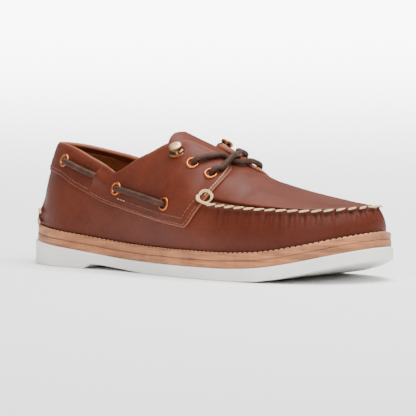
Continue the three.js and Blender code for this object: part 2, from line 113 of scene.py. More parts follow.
class Curve:
    """A smooth curve through (place, value) rows; a period closes it on itself."""

    def __init__(self, rows: list[tuple[float, float]], period: float = 0.0) -> None:
        """Keeps the rows with the slope at each.

        Args:
            rows: The places and values, in order.
            period: The length of a closed curve, or 0 for an open one.
        """
        self.rows = rows
        self.period = period
        self.slopes = [self._slope(i) for i in range(len(rows))]

    def _at(self, index: int) -> tuple[float, float]:
        """The row at an index, which may run past either end of a closed curve.

        Args:
            index: Which row, from before the first to after the last.

        Returns:
            The row's place and value.
        """
        if not self.period:
            index = min(max(index, 0), len(self.rows) - 1)
        turns = index // len(self.rows)
        place, value = self.rows[index - turns * len(self.rows)]
        return place + turns * self.period, value

    def _slope(self, index: int) -> float:
        """The slope at a row, from its two neighbours.

        Args:
            index: Which row.

        Returns:
            The slope, which is 0 at a peak or a dip.
        """
        t0, v0 = self._at(index - 1)
        t1, v1 = self._at(index)
        t2, v2 = self._at(index + 1)
        if t0 == t1 or t1 == t2:
            return (v2 - v0) / (t2 - t0)
        before = (v1 - v0) / (t1 - t0)
        after = (v2 - v1) / (t2 - t1)
        return (after * (t1 - t0) + before * (t2 - t1)) / (t2 - t0)

    def __call__(self, place: float) -> float:
        """The curve's value at a place.

        Args:
            place: Where along the curve.

        Returns:
            The value there, kept to the end rows on an open curve.
        """
        count = len(self.rows)
        if self.period:
            place %= self.period
        elif place <= self.rows[0][0]:
            return self.rows[0][1]
        elif place >= self.rows[-1][0]:
            return self.rows[-1][1]
        i = 0
        while i < count - 1 and self.rows[i + 1][0] <= place:
            i += 1
        t0, v0 = self._at(i)
        t1, v1 = self._at(i + 1)
        span = t1 - t0
        u = (place - t0) / span
        left = (1 + 2 * u) * (1 - u) ** 2 * v0 + u * (1 - u) ** 2 * span * self.slopes[i]
        right = u * u * (3 - 2 * u) * v1 + u * u * (u - 1) * span * self.slopes[(i + 1) % count]
        return left + right


class Polyline:
    """Straight lines through (place, value) rows."""

    def __init__(self, rows: list[tuple[float, float]]) -> None:
        """Keeps the rows."""
        self.rows = rows

    def __call__(self, place: float) -> float:
        """The height of the line at a place.

        Args:
            place: Where along the line.

        Returns:
            The height there.
        """
        for (t0, v0), (t1, v1) in zip(self.rows, self.rows[1:]):
            if place < t1:
                return mix(v0, v1, max((place - t0) / (t1 - t0), 0.0))
        return self.rows[-1][1]


def columns_of(*rows: tuple[float, ...]) -> list[Curve]:
    """One curve for each column after the first, which is the place along the foot."""
    return [Curve([(row[0], row[k]) for row in rows]) for k in range(1, len(rows[0]))]


# x, lateral half width, medial half width of the midsole
PLAN = [
    (12, 25.5, 25.5), (36, 36.5, 36.0), (70, 38.0, 35.5), (105, 39.5, 33.0),
    (140, 45.5, 37.0), (175, 51.5, 44.0), (205, 54.0, 49.5), (235, 51.5, 51.5),
    (262, 43.5, 47.5), (284, 28.5, 36.0), (296, 10.5, 23.5),
]
# x, height of the joint between the rubber and the leather layers
RUBBER_TOP, = columns_of(
    (0, 17.6), (35, 14.8), (70, 11.8), (105, 9.0), (140, 8.2), (180, 8.2),
    (214, 8.8), (240, 10.8), (264, 15.2), (284, 20.2), (300, 24.5),
)
# x, height of the sole's underside
UNDERSIDE = Polyline([
    (-5, 3.0), (3, 1.0), (12, 0), (66, 0), (73, 3.6), (84, 3.3), (100, 2.0), (118, 0.6),
    (132, 0), (216, 0), (238, 1.0), (252, 3.2), (268, 7.0), (284, 11.5), (305, 17.3),
])
# x, height of the last's centre line, fullness of the section across it
RIDGE_HEIGHT, FULLNESS = columns_of(
    (42, 124, 1.6), (70, 117, 1.75), (100, 109, 2.05), (127, 99.5, 2.45), (146, 92.5, 2.8),
    (164, 84, 2.8), (180, 75.5, 2.7), (199, 68, 2.7), (231, 59.5, 2.7), (258, 55, 2.7),
)
# x, how far the upper's wall swells outward
SWELL, = columns_of((0, 0), (40, 1.0), (100, 3.5), (160, 3.0), (260, 1.4), (300, 0.3))
# x, height of the moccasin seam, its distance inward from the upper's foot
SEAM_HEIGHT, SEAM_INSET = columns_of(
    (150, 54, 4.5), (205, 51, 5.0), (250, 49.8, 6.0), (280, 49.8, 6.2), (300, 51.5, 6.0),
)
# x, height of the collar's rim on the lateral and the medial side
RIM_LATERAL, RIM_MEDIAL = columns_of(
    (8, 88.6, 88.2), (18, 88.8, 86.6), (31, 88.4, 83.6), (43, 86.6, 81.2),
    (54, 83.6, 79.4), (64, 80.2, 77.4), (75, 76.8, 74.8), (85, 73.2, 72.2),
    (92, 70.8, 70.6), (97, 73.2, 72.8), (109, 81.6, 80.0), (121, 87.8, 85.6),
    (130, 92.4, 88.2), (139, 94.8, 89.6), (146, 96.4, 91.6), (153, 101.0, 99.0),
)
# x, half width of the gap between the facings
FACING_HALF, = columns_of(
    (112, 14), (128, 18), (138, 18.5), (147, 16.2), (156, 13.8), (165, 11.4),
    (174, 9.6), (190, 9.0),
)
# x, height of the long edge that falls from the heel to the quarter's corner
LOWER_LINE, = columns_of(
    (-10, 66.6), (26, 66.6), (34, 65.2), (50, 58.9), (67, 53.4), (83, 48.4),
    (100, 45.0), (120, 41.6), (148, 37.4), (169, 35.2),
)
# Height up the last, and the column there, of the quarter's front edge
QUARTER_FRONT, = columns_of(
    (0.171, 170), (0.199, 173), (0.30, 179), (0.394, 183.5), (0.534, 187), (0.657, 188),
    (0.76, 187), (0.80, 186), (0.83, 183.6), (0.85, 180.8), (0.88, 177),
)
# x, up, depth, half length, half height of soft troughs in the leather, and their side
CREASES = [
    (128, 0.47, 0.7, 9, 0.10, -1), (158, 0.40, 0.6, 8, 0.12, -1), (112, 0.33, -0.5, 9, 0.07, -1),
    (176, 0.52, 0.5, 5, 0.16, -1), (196, 0.24, 0.5, 7, 0.10, -1), (60, 0.14, 0.5, 14, 0.09, -1),
    (124, 0.44, 0.7, 10, 0.11, 1), (160, 0.38, 0.6, 8, 0.12, 1), (196, 0.22, 0.5, 8, 0.10, 1),
    (56, 0.16, 0.5, 14, 0.09, 1), (214, 0.80, 0.5, 6, 0.30, -1), (206, 0.75, 0.4, 5, 0.30, 1),
]


def turn_at(x: float, side: int) -> float:
    """The turn round the plan at a place along the foot, on one side."""
    return side * math.acos(1 - 2 * min(max(x, 0.0), LENGTH) / LENGTH)


def length_at(turn: float) -> float:
    """The place along the foot at a turn round the plan."""
    return LENGTH / 2 * (1 - math.cos(turn))


SIDEWAYS = Curve(
    [(0.0, 0.0)]
    + [(turn_at(x, 1), medial) for x, _, medial in PLAN]
    + [(math.pi, TOE_SIDE)]
    + [(TURN + turn_at(x, -1), -lateral) for x, lateral, _ in reversed(PLAN)],
    TURN,
)


@lru_cache(maxsize=None)
def edge_frame(turn: float) -> tuple[float, float, float, float]:
    """The midsole's edge at a turn, and the direction inward from it.

    Args:
        turn: Turn round the plan, from the heel.

    Returns:
        The edge's x and y, and the inward direction's x and y.
    """
    step = 1e-4
    along_x = length_at(turn + step) - length_at(turn - step)
    along_y = SIDEWAYS(turn + step) - SIDEWAYS(turn - step)
    size = math.hypot(along_x, along_y)
    return length_at(turn), SIDEWAYS(turn), along_y / size, -along_x / size


def edge(turn: float, inset: float) -> tuple[float, float]:
    """The midsole's edge at a turn, moved inward by an inset."""
    x, y, in_x, in_y = edge_frame(turn)
    return x + in_x * inset, y + in_y * inset


def welt_height(x: float) -> float:
    """The height of the welt's top, on which the upper stands."""
    return RUBBER_TOP(x) + 2 * (LAYER + GAP)


def ridge_place(x: float) -> float:
    """Where the column of a place reaches the centre line."""
    part = x / LENGTH
    return RIDGE_FROM + RIDGE_RUN * (0.62 * part + 0.38 * part * part * (3 - 2 * part))


def ridge_side(x: float) -> float:
    """How far the centre line leans to the inner side."""
    return TOE_SIDE * 0.8 * smoothstep(x, 120, 280)


class Column:
    """One column of the last, from the foot of the upper to the centre line."""

    SWELL_TOP = 0.8  # share of the rise over which the wall swells
    CROWN = 0.3  # share of the reach that follows the centre line's slope
    SPRUNG = 2.5  # how far the outer facing stands off the last

    def __init__(self, turn: float) -> None:
        """Works out what every point of the column shares.

        Args:
            turn: Turn round the plan, from the heel.
        """
        self.turn = turn
        self.x = length_at(turn)
        self.lateral = math.sin(turn) < 0
        self.spine_x = ridge_place(self.x)
        self.spine_y = ridge_side(self.x)
        self.low = welt_height(self.x)
        self.high = RIDGE_HEIGHT(self.spine_x)
        self.slope = (self.high - RIDGE_HEIGHT(self.spine_x - 2)) / 2
        self.fullness = FULLNESS(self.x)
        self.swell = SWELL(self.x)
        self.seam_height = SEAM_HEIGHT(self.x)
        self.seam_inset = SEAM_INSET(self.x)
        self.blend = smoothstep(self.x, 150, 192)

    def lift(self, up: float) -> float:
        """How far the outer facing stands off the last.

        Args:
            up: Height up the last, from 0 at the foot to 1 at the centre line.

        Returns:
            The distance, 0 away from the outer facing.
        """
        if not self.lateral:
            return 0.0
        along = smoothstep(self.x, 104, 140) * (1 - smoothstep(self.x, 176, 190))
        return self.SPRUNG * along * smoothstep(up, 0.52, 0.8) * (1 - smoothstep(up, 0.9, 1.0))

    def point(self, up: float, offset: float = 0.0, sprung: bool = True) -> Vector:
        """A point of the column.

        Args:
            up: 0 at the foot of the upper, 1 on the centre line.
            offset: Distance outward from the last.
            sprung: Whether the point follows the outer facing off the last.

        Returns:
            The point, in millimetres.
        """
        foot_x, foot_y = edge(self.turn, LEDGE - offset)
        reach = math.hypot(foot_x - self.spine_x, foot_y - self.spine_y)
        high = self.high + offset
        angle = min(up, 1.0) * math.pi / 2
        cosine, sine = max(math.cos(angle), 0.0), math.sin(angle)
        size = (cosine**self.fullness + sine**self.fullness) ** (-1 / self.fullness)
        rise = sine * size
        out = cosine * size
        if rise < self.SWELL_TOP:
            out += self.swell / reach * math.sin(math.pi * rise / self.SWELL_TOP)
        z = mix(self.low, high, rise)
        if self.blend > 0:
            seam_out = 1 - self.seam_inset / reach
            seam_z = self.seam_height + offset * 0.6
            wall = min(up / SEAM_ROW, 1.0)
            crown = max((up - SEAM_ROW) / (1 - SEAM_ROW), 0.0)
            bulge = self.swell / reach * math.sin(math.pi * wall)
            moc_out = (1 + (seam_out - 1) * wall**2.2 + bulge) * (1 - crown)
            arch = 1 - (1 - crown) ** 2
            moc_z = self.low + (seam_z - self.low) * wall + (high - seam_z) * arch
            out = mix(out, moc_out, self.blend)
            z = mix(z, moc_z, self.blend)
        z += self.slope * (foot_x - self.spine_x) * out * bell(out, self.CROWN)
        if sprung:
            z += self.lift(up)
        return Vector((mix(self.spine_x, foot_x, out), mix(self.spine_y, foot_y, out), z))


@lru_cache(maxsize=None)
def column_at(turn: float) -> Column:
    """The last's column at a turn."""
    return Column(turn)


def solve(low: float, high: float, beyond: Callable[[float], bool]) -> float:
    """The value between low and high where beyond turns from False to True.

    Args:
        low: A value where beyond is False.
        high: A value where beyond is True.
        beyond: The test.

    Returns:
        The value where it turns.
    """
    for _ in range(18):
        middle = (low + high) / 2
        if beyond(middle):
            high = middle
        else:
            low = middle
    return (low + high) / 2


@lru_cache(maxsize=None)
def rim_at(turn: float, offset: float, front: float) -> float:
    """How far up a column the collar or the facing cuts it off.

    Args:
        turn: The column's turn.
        offset: Distance outward from the last.
        front: Where the gap between the facings ends.

    Returns:
        The height up the column, 1 where nothing cuts it.
    """
    column = column_at(turn)
    collar_end, gap_start, rounding = 153.0, 112.0, 5.0

    def cut(up: float) -> bool:
        """Whether the point is above the rim or in the gap between the facings.

        Args:
            up: Height up the last, from 0 at the foot to 1 at the centre line.

        Returns:
            True when the leather is cut away there.
        """
        spot = column.point(up, offset)
        part = smoothstep(spot.y, -14, 14)
        rim = mix(RIM_LATERAL(spot.x), RIM_MEDIAL(spot.x), part)
        if spot.x < collar_end and spot.z > rim:
            return True
        half = FACING_HALF(spot.x)
        if spot.x > front - rounding:
            half *= math.sqrt(max(1 - ((spot.x - front + rounding) / rounding) ** 2, 0.0))
        return gap_start < spot.x < front and abs(spot.y - ridge_side(spot.x)) < half

    steps, first = 70, 20
    for k in range(first, steps + 1):
        if cut(k / steps):
            return solve((k - 1) / steps, k / steps, cut)
    return 1.0


def level_at(turn: float, offset: float, height: Curve) -> float:
    """How far up a column it crosses a line drawn on the shoe's side.

    Args:
        turn: Turn round the plan, from the heel.
        offset: Distance out from the last.
        height: The line's height at each place along the foot.

    Returns:
        How far up the column the line lies.
    """
    column = column_at(turn)

    def above(up: float) -> bool:
        """Whether the point is above the line."""
        spot = column.point(up, offset)
        return spot.z > height(spot.x)

    return solve(0.02, 0.7, above)


@dataclass(frozen=True)
class Seat:
    """A place on the leather's face, with the outward direction there."""

    point: Vector
    normal: Vector

    def above(self, height: float) -> Vector:
        """The point a height above the leather."""
        return self.point + self.normal * height


def seat_at(turn: float, up: float, offset: float) -> Seat:
    """The seat at a turn and a height up the last, at an offset.

    Args:
        turn: Turn round the plan, from the heel.
        up: Height up the last, from 0 at the foot to 1 at the centre line.
        offset: Distance out from the last.

    Returns:
        The seat, with the leather's outward direction.
    """
    step = 1e-3
    around = column_at(turn + step).point(up, offset) - column_at(turn - step).point(up, offset)
    rise = column_at(turn).point(up + step, offset) - column_at(turn).point(up - step, offset)
    normal = around.cross(rise).normalized()
    point = column_at(turn).point(up, offset)
    outward = Vector((point.x - LENGTH / 2, point.y, 0.0)) * 0.3 + Vector((0, 0, 20))
    if normal.dot(outward) < 0 and abs(normal.z) > 0.2 or normal.y * math.sin(turn) < -0.2:
        normal = -normal
    return Seat(point, normal)


def seat(x: float, up: float, side: Side, offset: float) -> Seat:
    """The seat at a place along the foot on one side."""
    return seat_at(turn_at(x, side.value), up, offset)


@lru_cache(maxsize=1)
def seam_arcs() -> Curve:
    """The distance round the last at the moccasin seam's height, for each turn.

    Returns:
        The distance from the heel, as a closed curve over the turn.
    """
    count = 720
    rows = [(0.0, 0.0)]
    before = column_at(0.0).point(SEAM_ROW, 0.0)
    for k in range(1, count + 1):
        here = column_at(TURN * k / count).point(SEAM_ROW, 0.0)
        rows.append((TURN * k / count, rows[-1][1] + (here - before).length))
        before = here
    return Curve(rows)


# ---------------------------------------------------------------- making meshes
def mapped_grid(
    columns: int, rows: int, place: Place, marks: dict[str, Share] | None = None,
) -> bmesh.types.BMesh:
    """A grid laid on a surface, its meeting edges joined and its faces turned outward.

    Args:
        columns: Faces across, along u.
        rows: Faces up, along v.
        place: Gives the point at u and v, each from 0 to 1.
        marks: Values kept at each point under a name, such as how worn the leather is.

    Returns:
        The mesh, in millimetres.
    """
    mesh = bmesh.new()
    bmesh.ops.create_grid(mesh, x_segments=columns, y_segments=rows, size=1.0)
    layers = {name: mesh.verts.layers.float.new(name) for name in marks or {}}
    for vert in mesh.verts:
        u = round((vert.co.x + 1) / 2 * columns) / columns
        v = round((vert.co.y + 1) / 2 * rows) / rows
        vert.co = place(u, v)
        for name, layer in layers.items():
            vert[layer] = marks[name](u, v)
    close_up(mesh)
    return mesh


def close_up(mesh: bmesh.types.BMesh) -> None:
    """Joins points that meet, drops faces without area, and turns the rest outward.

    Args:
        mesh: The mesh, changed in place.
    """
    bmesh.ops.remove_doubles(mesh, verts=mesh.verts, dist=1e-3)
    bmesh.ops.dissolve_degenerate(mesh, dist=1e-4, edges=mesh.edges)
    bmesh.ops.recalc_face_normals(mesh, faces=mesh.faces)


def seal(mesh: bmesh.types.BMesh) -> None:
    """Closes the openings left in a body, and turns its faces outward.

    Args:
        mesh: The mesh, changed in place.
    """
    bmesh.ops.holes_fill(mesh, edges=[line for line in mesh.edges if line.is_boundary], sides=0)
    bmesh.ops.triangulate(mesh, faces=[face for face in mesh.faces if len(face.verts) > 4])
    bmesh.ops.recalc_face_normals(mesh, faces=mesh.faces)


def lathe(profile: list[tuple[float, float]], steps: int, at: Seat) -> bmesh.types.BMesh:
    """A turned body standing on a seat.

    Args:
        profile: Radius and height pairs.
        steps: Faces round the axis.
        at: Where its foot stands.

    Returns:
        The mesh, in millimetres.
    """
    upright = Vector((0, 0, 1)).rotation_difference(at.normal)

    def place(u: float, v: float) -> Vector:
        """The profile's point at v, turned round the axis by u.

        Args:
            u: Share of the way round.
            v: Share of the way through the profile.

        Returns:
            The point.
        """
        radius, height = profile[round(v * (len(profile) - 1))]
        angle = round(u * steps) % steps * TURN / steps
        return at.point + upright @ Vector((radius * math.cos(angle), radius * math.sin(angle), height))

    return mapped_grid(steps, len(profile) - 1, place)


def join(target: bmesh.types.BMesh, other: bmesh.types.BMesh) -> None:
    """Adds another mesh to a target, and frees the other.

    Args:
        target: The mesh that grows.
        other: The mesh that is added.
    """
    scratch = bpy.data.meshes.new("scratch")
    other.to_mesh(scratch)
    other.free()
    target.from_mesh(scratch)
    bpy.data.meshes.remove(scratch)


def smooth_path(points: list[Vector], per_span: int) -> list[Vector]:
    """A Catmull-Rom path through points.

    Args:
        points: The points the path goes through.
        per_span: Steps between two points.

    Returns:
        The path's points.
    """
    path: list[Vector] = []
    for i in range(len(points) - 1):
        p0 = points[max(i - 1, 0)]
        p1, p2 = points[i], points[i + 1]
        p3 = points[min(i + 2, len(points) - 1)]
        for k in range(per_span):
            t = k / per_span
            path.append(0.5 * (
                2 * p1 + (p2 - p0) * t + (2 * p0 - 5 * p1 + 4 * p2 - p3) * t * t
                + (3 * p1 - p0 - 3 * p2 + p3) * t**3
            ))
    path.append(points[-1].copy())
    return path


def swept(path: list[Vector], width: float, height: float, up: Vector, sides: int) -> bmesh.types.BMesh:
    """A cord of oval section along a path, with rounded ends.

    Args:
        path: The middle line.
        width: The section's width, across the leather.
        height: The section's height, off the leather.
        up: Roughly the direction off the leather at the start.
        sides: Faces round the section.

    Returns:
        The mesh, in millimetres.
    """
    frames = []
    normal = up.copy()
    for i, point in enumerate(path):
        along = (path[min(i + 1, len(path) - 1)] - path[max(i - 1, 0)]).normalized()
        normal = (normal - along * normal.dot(along)).normalized()
        frames.append((point, along, normal, along.cross(normal)))
    ends = 3
    rows = len(path) - 1 + 2 * ends

    def place(u: float, v: float) -> Vector:
        """A point round the section, shrinking to nothing at both ends.

        Args:
            u: Share of the way round the section.
            v: Share of the way along the path.

        Returns:
            The point.
        """
        row = round(v * rows)
        index = min(max(row - ends, 0), len(path) - 1)
        over = max(ends - row, row - ends - (len(path) - 1), 0) / ends
        point, along, high, across = frames[index]
        size = math.sqrt(max(1 - over * over, 0.0))
        shift = along * (over * height / 2 * (1 if row > ends else -1))
        angle = u * TURN
        return (
            point + shift + high * (math.sin(angle) * height / 2 * size)
            + across * (math.cos(angle) * width / 2 * size)
        )

    return mapped_grid(sides, rows, place)


def thread(
    points: list[tuple[Vector, Vector, Vector]], length: float, radius: float, taper: float = 0.0,
) -> bmesh.types.BMesh:
    """A row of stitches, each a short stout length of thread with round ends.

    Args:
        points: For each stitch its middle, the direction along it and the outward one.
        length: A stitch's length.
        radius: The thread's radius.
        taper: How much thinner its front end is than its middle.

    Returns:
        The mesh, in millimetres.
    """
    sides = 6
    mesh = bmesh.new()
    for middle, along, outward in points:
        along = along.normalized()
        outward = (outward - along * outward.dot(along)).normalized()
        across = outward.cross(along)
        turn = Matrix((along * length / 2, across * radius, outward * radius)).transposed()
        matrix = Matrix.Translation(middle) @ turn.to_4x4()
        made = bmesh.ops.create_grid(mesh, x_segments=sides, y_segments=sides, size=1.0)["verts"]
        for vert in made:
            angle = round((vert.co.x + 1) / 2 * sides) % sides * TURN / sides
            tilt = round((vert.co.y + 1) / 2 * sides) * math.pi / sides
            ahead = math.cos(tilt)
            size = math.sqrt(max(math.sin(tilt), 0.0)) * (1 - taper * ahead)
            vert.co = matrix @ Vector((ahead, size * math.sin(angle), size * math.cos(angle)))
    close_up(mesh)
    return mesh


def row_of_stitches(path: list[Seat], pitch: float) -> list[tuple[Vector, Vector, Vector]]:
    """Stitch places at an even pitch along a path of seats.

    Args:
        path: The seats the row runs through.
        pitch: Distance from one stitch to the next.

    Returns:
        Each stitch's middle, direction and outward direction.
    """
    places = []
    travelled = pitch / 2
    for here, there in zip(path, path[1:]):
        step = there.point - here.point
        length = step.length
        while travelled < length:
            part = travelled / length
            normal = here.normal.lerp(there.normal, part)
            places.append((here.point.lerp(there.point, part), step, normal))
            travelled += pitch
        travelled -= length
    return places


class Workshop:
    """Turns finished meshes into pieces of the shoe."""

    def __init__(self) -> None:
        """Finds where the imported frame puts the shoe."""
        sides = [edge(TURN * k / 360, -RUBBER_OUTSET)[1] for k in range(360)]
        middle = (max(sides) + min(sides)) / 2
        self.to_frame = Matrix.Scale(0.001, 4) @ Matrix.Translation((-LENGTH / 2, -middle, 0.0))

    def finish(
        self, mesh: bmesh.types.BMesh, name: str, finish: "Finish", nodes: list[str],
    ) -> bpy.types.Object:
        """Makes a piece of a mesh and fixes it to the shoe.

        Args:
            mesh: The mesh, in millimetres. It is freed.
            name: The piece's name.
            finish: What it is made of.
            nodes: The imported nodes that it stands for.

        Returns:
            The piece.
        """
        bmesh.ops.transform(mesh, matrix=self.to_frame, verts=mesh.verts)
        data = bpy.data.meshes.new(name)
        mesh.to_mesh(data)
        mesh.free()
        data.shade_smooth()
        piece = bpy.data.objects.new(name, data)
        bpy.context.scene.collection.objects.link(piece)
        data.materials.append(finish.material())
        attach(piece, "root")
        if nodes:
            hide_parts(*nodes)
        LOG.info("%s: %d faces", name, len(data.polygons))
        return piece


# ---------------------------------------------------------------- finishes
def socket_group(name: str, inputs: dict[str, object], outputs: dict[str, str]) -> bpy.types.NodeTree:
    """A new shader group with named sockets; an input's value gives its kind.

    Args:
        name: The group's name.
        inputs: Each input's name and value.
        outputs: Each output's name and kind.

    Returns:
        The group.
    """
    group = bpy.data.node_groups.new(name, "ShaderNodeTree")
    for title, value in inputs.items():
        kind = "NodeSocketFloat"
        if isinstance(value, tuple):
            kind = "NodeSocketColor" if len(value) == 4 else "NodeSocketVector"
        made = group.interface.new_socket(name=title, in_out="INPUT", socket_type=kind)
        made.default_value = value
    for title, kind in outputs.items():
        group.interface.new_socket(name=title, in_out="OUTPUT", socket_type=kind)
    return group


class Nodes:
    """Adds and wires the nodes of one tree."""

    def __init__(self, tree: bpy.types.NodeTree) -> None:
        """Keeps the tree."""
        self.tree = tree

    def add(self, kind: str, settings: dict[str, object] | None = None, **links: object) -> bpy.types.Node:
        """Adds a node.

        Args:
            kind: The node's type, without ShaderNode.
            settings: Its own properties.
            links: Its inputs, by title with _ for spaces, or by i and a number. Each is a
                value, or an output to wire in.

        Returns:
            The node.
        """
        node = self.tree.nodes.new("ShaderNode" + kind)
        for title, value in (settings or {}).items():
            setattr(node, title, value)
        for title, value in links.items():
            key = int(title[1:]) if title[0] == "i" and title[1:].isdigit() else title.replace("_", " ")
            self.wire(value, node.inputs[key])
        return node

    def wire(self, value: object, socket: bpy.types.NodeSocket) -> None:
        """Wires an output into a socket, or sets the socket's value.

        Args:
            value: An output, or a plain value.
            socket: The input it goes to.
        """
        if isinstance(value, bpy.types.NodeSocket):
            self.tree.links.new(value, socket)
        else:
            socket.default_value = value

    def maths(self, operation: str, a: object, b: object = 0.0) -> bpy.types.NodeSocket:
        """A maths node's output."""
        return self.add("Math", {"operation": operation}, i0=a, i1=b).outputs[0]

    def weigh(self, a: object, a_share: float, b: object, b_share: float) -> bpy.types.NodeSocket:
        """The sum of two values, each times its share."""
        return self.maths("ADD", self.maths("MULTIPLY", a, a_share), self.maths("MULTIPLY", b, b_share))

    def ramp(
        self, factor: object, low: float, high: float, start: float = 0.0, end: float = 1.0,
    ) -> bpy.types.NodeSocket:
        """The factor between low and high, mapped to start and end and kept there.

        Args:
            factor: What is mapped.
            low: The factor that gives start.
            high: The factor that gives end.
            start: The result at low.
            end: The result at high.

        Returns:
            The mapped value.
        """
        node = self.add("MapRange", {"clamp": True}, Value=factor)
        node.inputs["From Min"].default_value = low
        node.inputs["From Max"].default_value = high
        node.inputs["To Min"].default_value = start
        node.inputs["To Max"].default_value = end
        return node.outputs[0]

    def blend(self, factor: object, a: object, b: object) -> bpy.types.NodeSocket:
        """A mix of two colours.

        Args:
            factor: 0 for the first colour, 1 for the second.
            a: The first colour.
            b: The second colour.

        Returns:
            The mixed colour.
        """
        node = self.add("Mix", {"data_type": "RGBA"})
        self.wire(factor, node.inputs[0])
        self.wire(a, node.inputs[6])
        self.wire(b, node.inputs[7])
        return node.outputs[2]

    def noise(
        self, vector: object, scale: object, detail: float = 3.0, rough: float = 0.5,
    ) -> bpy.types.NodeSocket:
        """A noise value.

        Args:
            vector: The place on the piece.
            scale: How many grains to a metre.
            detail: How many finer layers.
            rough: How strong they are.

        Returns:
            The noise's value.
        """
        node = self.add("TexNoise", {}, Vector=vector, Scale=scale, Detail=detail, Roughness=rough)
        return node.outputs[0]


@lru_cache(maxsize=1)
def hide_group() -> bpy.types.NodeTree:
    """The grain of leather: a height, and a mask of the pores between the pebbles.

    Returns:
        The group.
    """
    group = socket_group(
        "leather_grain",
        {"Vector": (0.0, 0.0, 0.0), "Scale": 900.0},
        {"Height": "NodeSocketFloat", "Pores": "NodeSocketFloat"},
    )
    nodes = Nodes(group)
    given = group.nodes.new("NodeGroupInput").outputs
    bent = nodes.noise(given["Vector"], 260.0, 2.0)
    shifted = nodes.add("VectorMath", {"operation": "SCALE"}, i0=given["Vector"])
    nodes.wire(nodes.ramp(bent, 0.0, 1.0, 0.998, 1.002), shifted.inputs["Scale"])
    cells = nodes.add(
        "TexVoronoi", {"feature": "DISTANCE_TO_EDGE"}, Vector=shifted.outputs[0], Scale=given["Scale"],
    ).outputs["Distance"]
    pebble = nodes.ramp(cells, 0.0, 0.22)
    fine = nodes.noise(given["Vector"], 3200.0, 3.0, 0.6)
    height = nodes.maths("ADD", pebble, nodes.maths("MULTIPLY", fine, 0.5))
    out = group.nodes.new("NodeGroupOutput").inputs
    nodes.wire(height, out["Height"])
    nodes.wire(nodes.maths("SUBTRACT", 1.0, pebble), out["Pores"])
    return group


@lru_cache(maxsize=1)
def patina_group() -> bpy.types.NodeTree:
    """Colour that drifts between dark, middle and light as waxed leather does.

    Returns:
        The group.
    """
    group = socket_group(
        "patina",
        {
            "Vector": (0.0, 0.0, 0.0), "Scale": 22.0, "Dark": (0, 0, 0, 1),
            "Middle": (0, 0, 0, 1), "Light": (0, 0, 0, 1),
        },
        {"Color": "NodeSocketColor", "Drift": "NodeSocketFloat"},
    )
    nodes = Nodes(group)
    given = group.nodes.new("NodeGroupInput").outputs
    broad = nodes.noise(given["Vector"], given["Scale"], 4.0, 0.6)
    close = nodes.noise(given["Vector"], nodes.maths("MULTIPLY", given["Scale"], 9.0), 4.0, 0.65)
    drift = nodes.weigh(broad, 0.7, close, 0.3)
    darker = nodes.blend(nodes.ramp(drift, 0.36, 0.5), given["Dark"], given["Middle"])
    lighter = nodes.blend(nodes.ramp(drift, 0.5, 0.66), darker, given["Light"])
    out = group.nodes.new("NodeGroupOutput").inputs
    nodes.wire(lighter, out["Color"])
    nodes.wire(drift, out["Drift"])
    return group


def solid_colour(colour: Colour, share: float = 1.0) -> tuple[float, float, float, float]:
    """A socket's colour, brightened or darkened by a share."""
    red, green, blue = (min(part * share, 1.0) for part in colour)
    return red, green, blue, 1.0


@dataclass(frozen=True)
class Finish:
    """What a piece is made of. Kinds of finish add their own nodes."""

    name: str
    slot: str
    colour: Colour
    roughness: float = 0.5

    def material(self) -> bpy.types.Material:
        """The finish as a material, made once.

        Returns:
            The material.
        """
        made = bpy.data.materials.get(self.name)
        if made is None:
            made = bpy.data.materials.new(self.name)
            made.use_nodes = True
            made.diffuse_color = solid_colour(self.colour)
            nodes = Nodes(made.node_tree)
            shader = made.node_tree.nodes["Principled BSDF"]
            vector = nodes.add("TexCoord").outputs["Object"]
            shader.inputs["Roughness"].default_value = self.roughness
            self.dress(nodes, shader, vector)
        return made

    def dress(self, nodes: Nodes, shader: bpy.types.Node, vector: bpy.types.NodeSocket) -> None:
        """Adds the finish's own nodes."""
        raise NotImplementedError

    def bump(self, nodes: Nodes, shader: bpy.types.Node, height: object, depth: float) -> None:
        """Gives the shader a bump of a depth in metres."""
        made = nodes.add("Bump", {}, Strength=1.0, Distance=depth, Height=height)
        nodes.wire(made.outputs["Normal"], shader.inputs["Normal"])


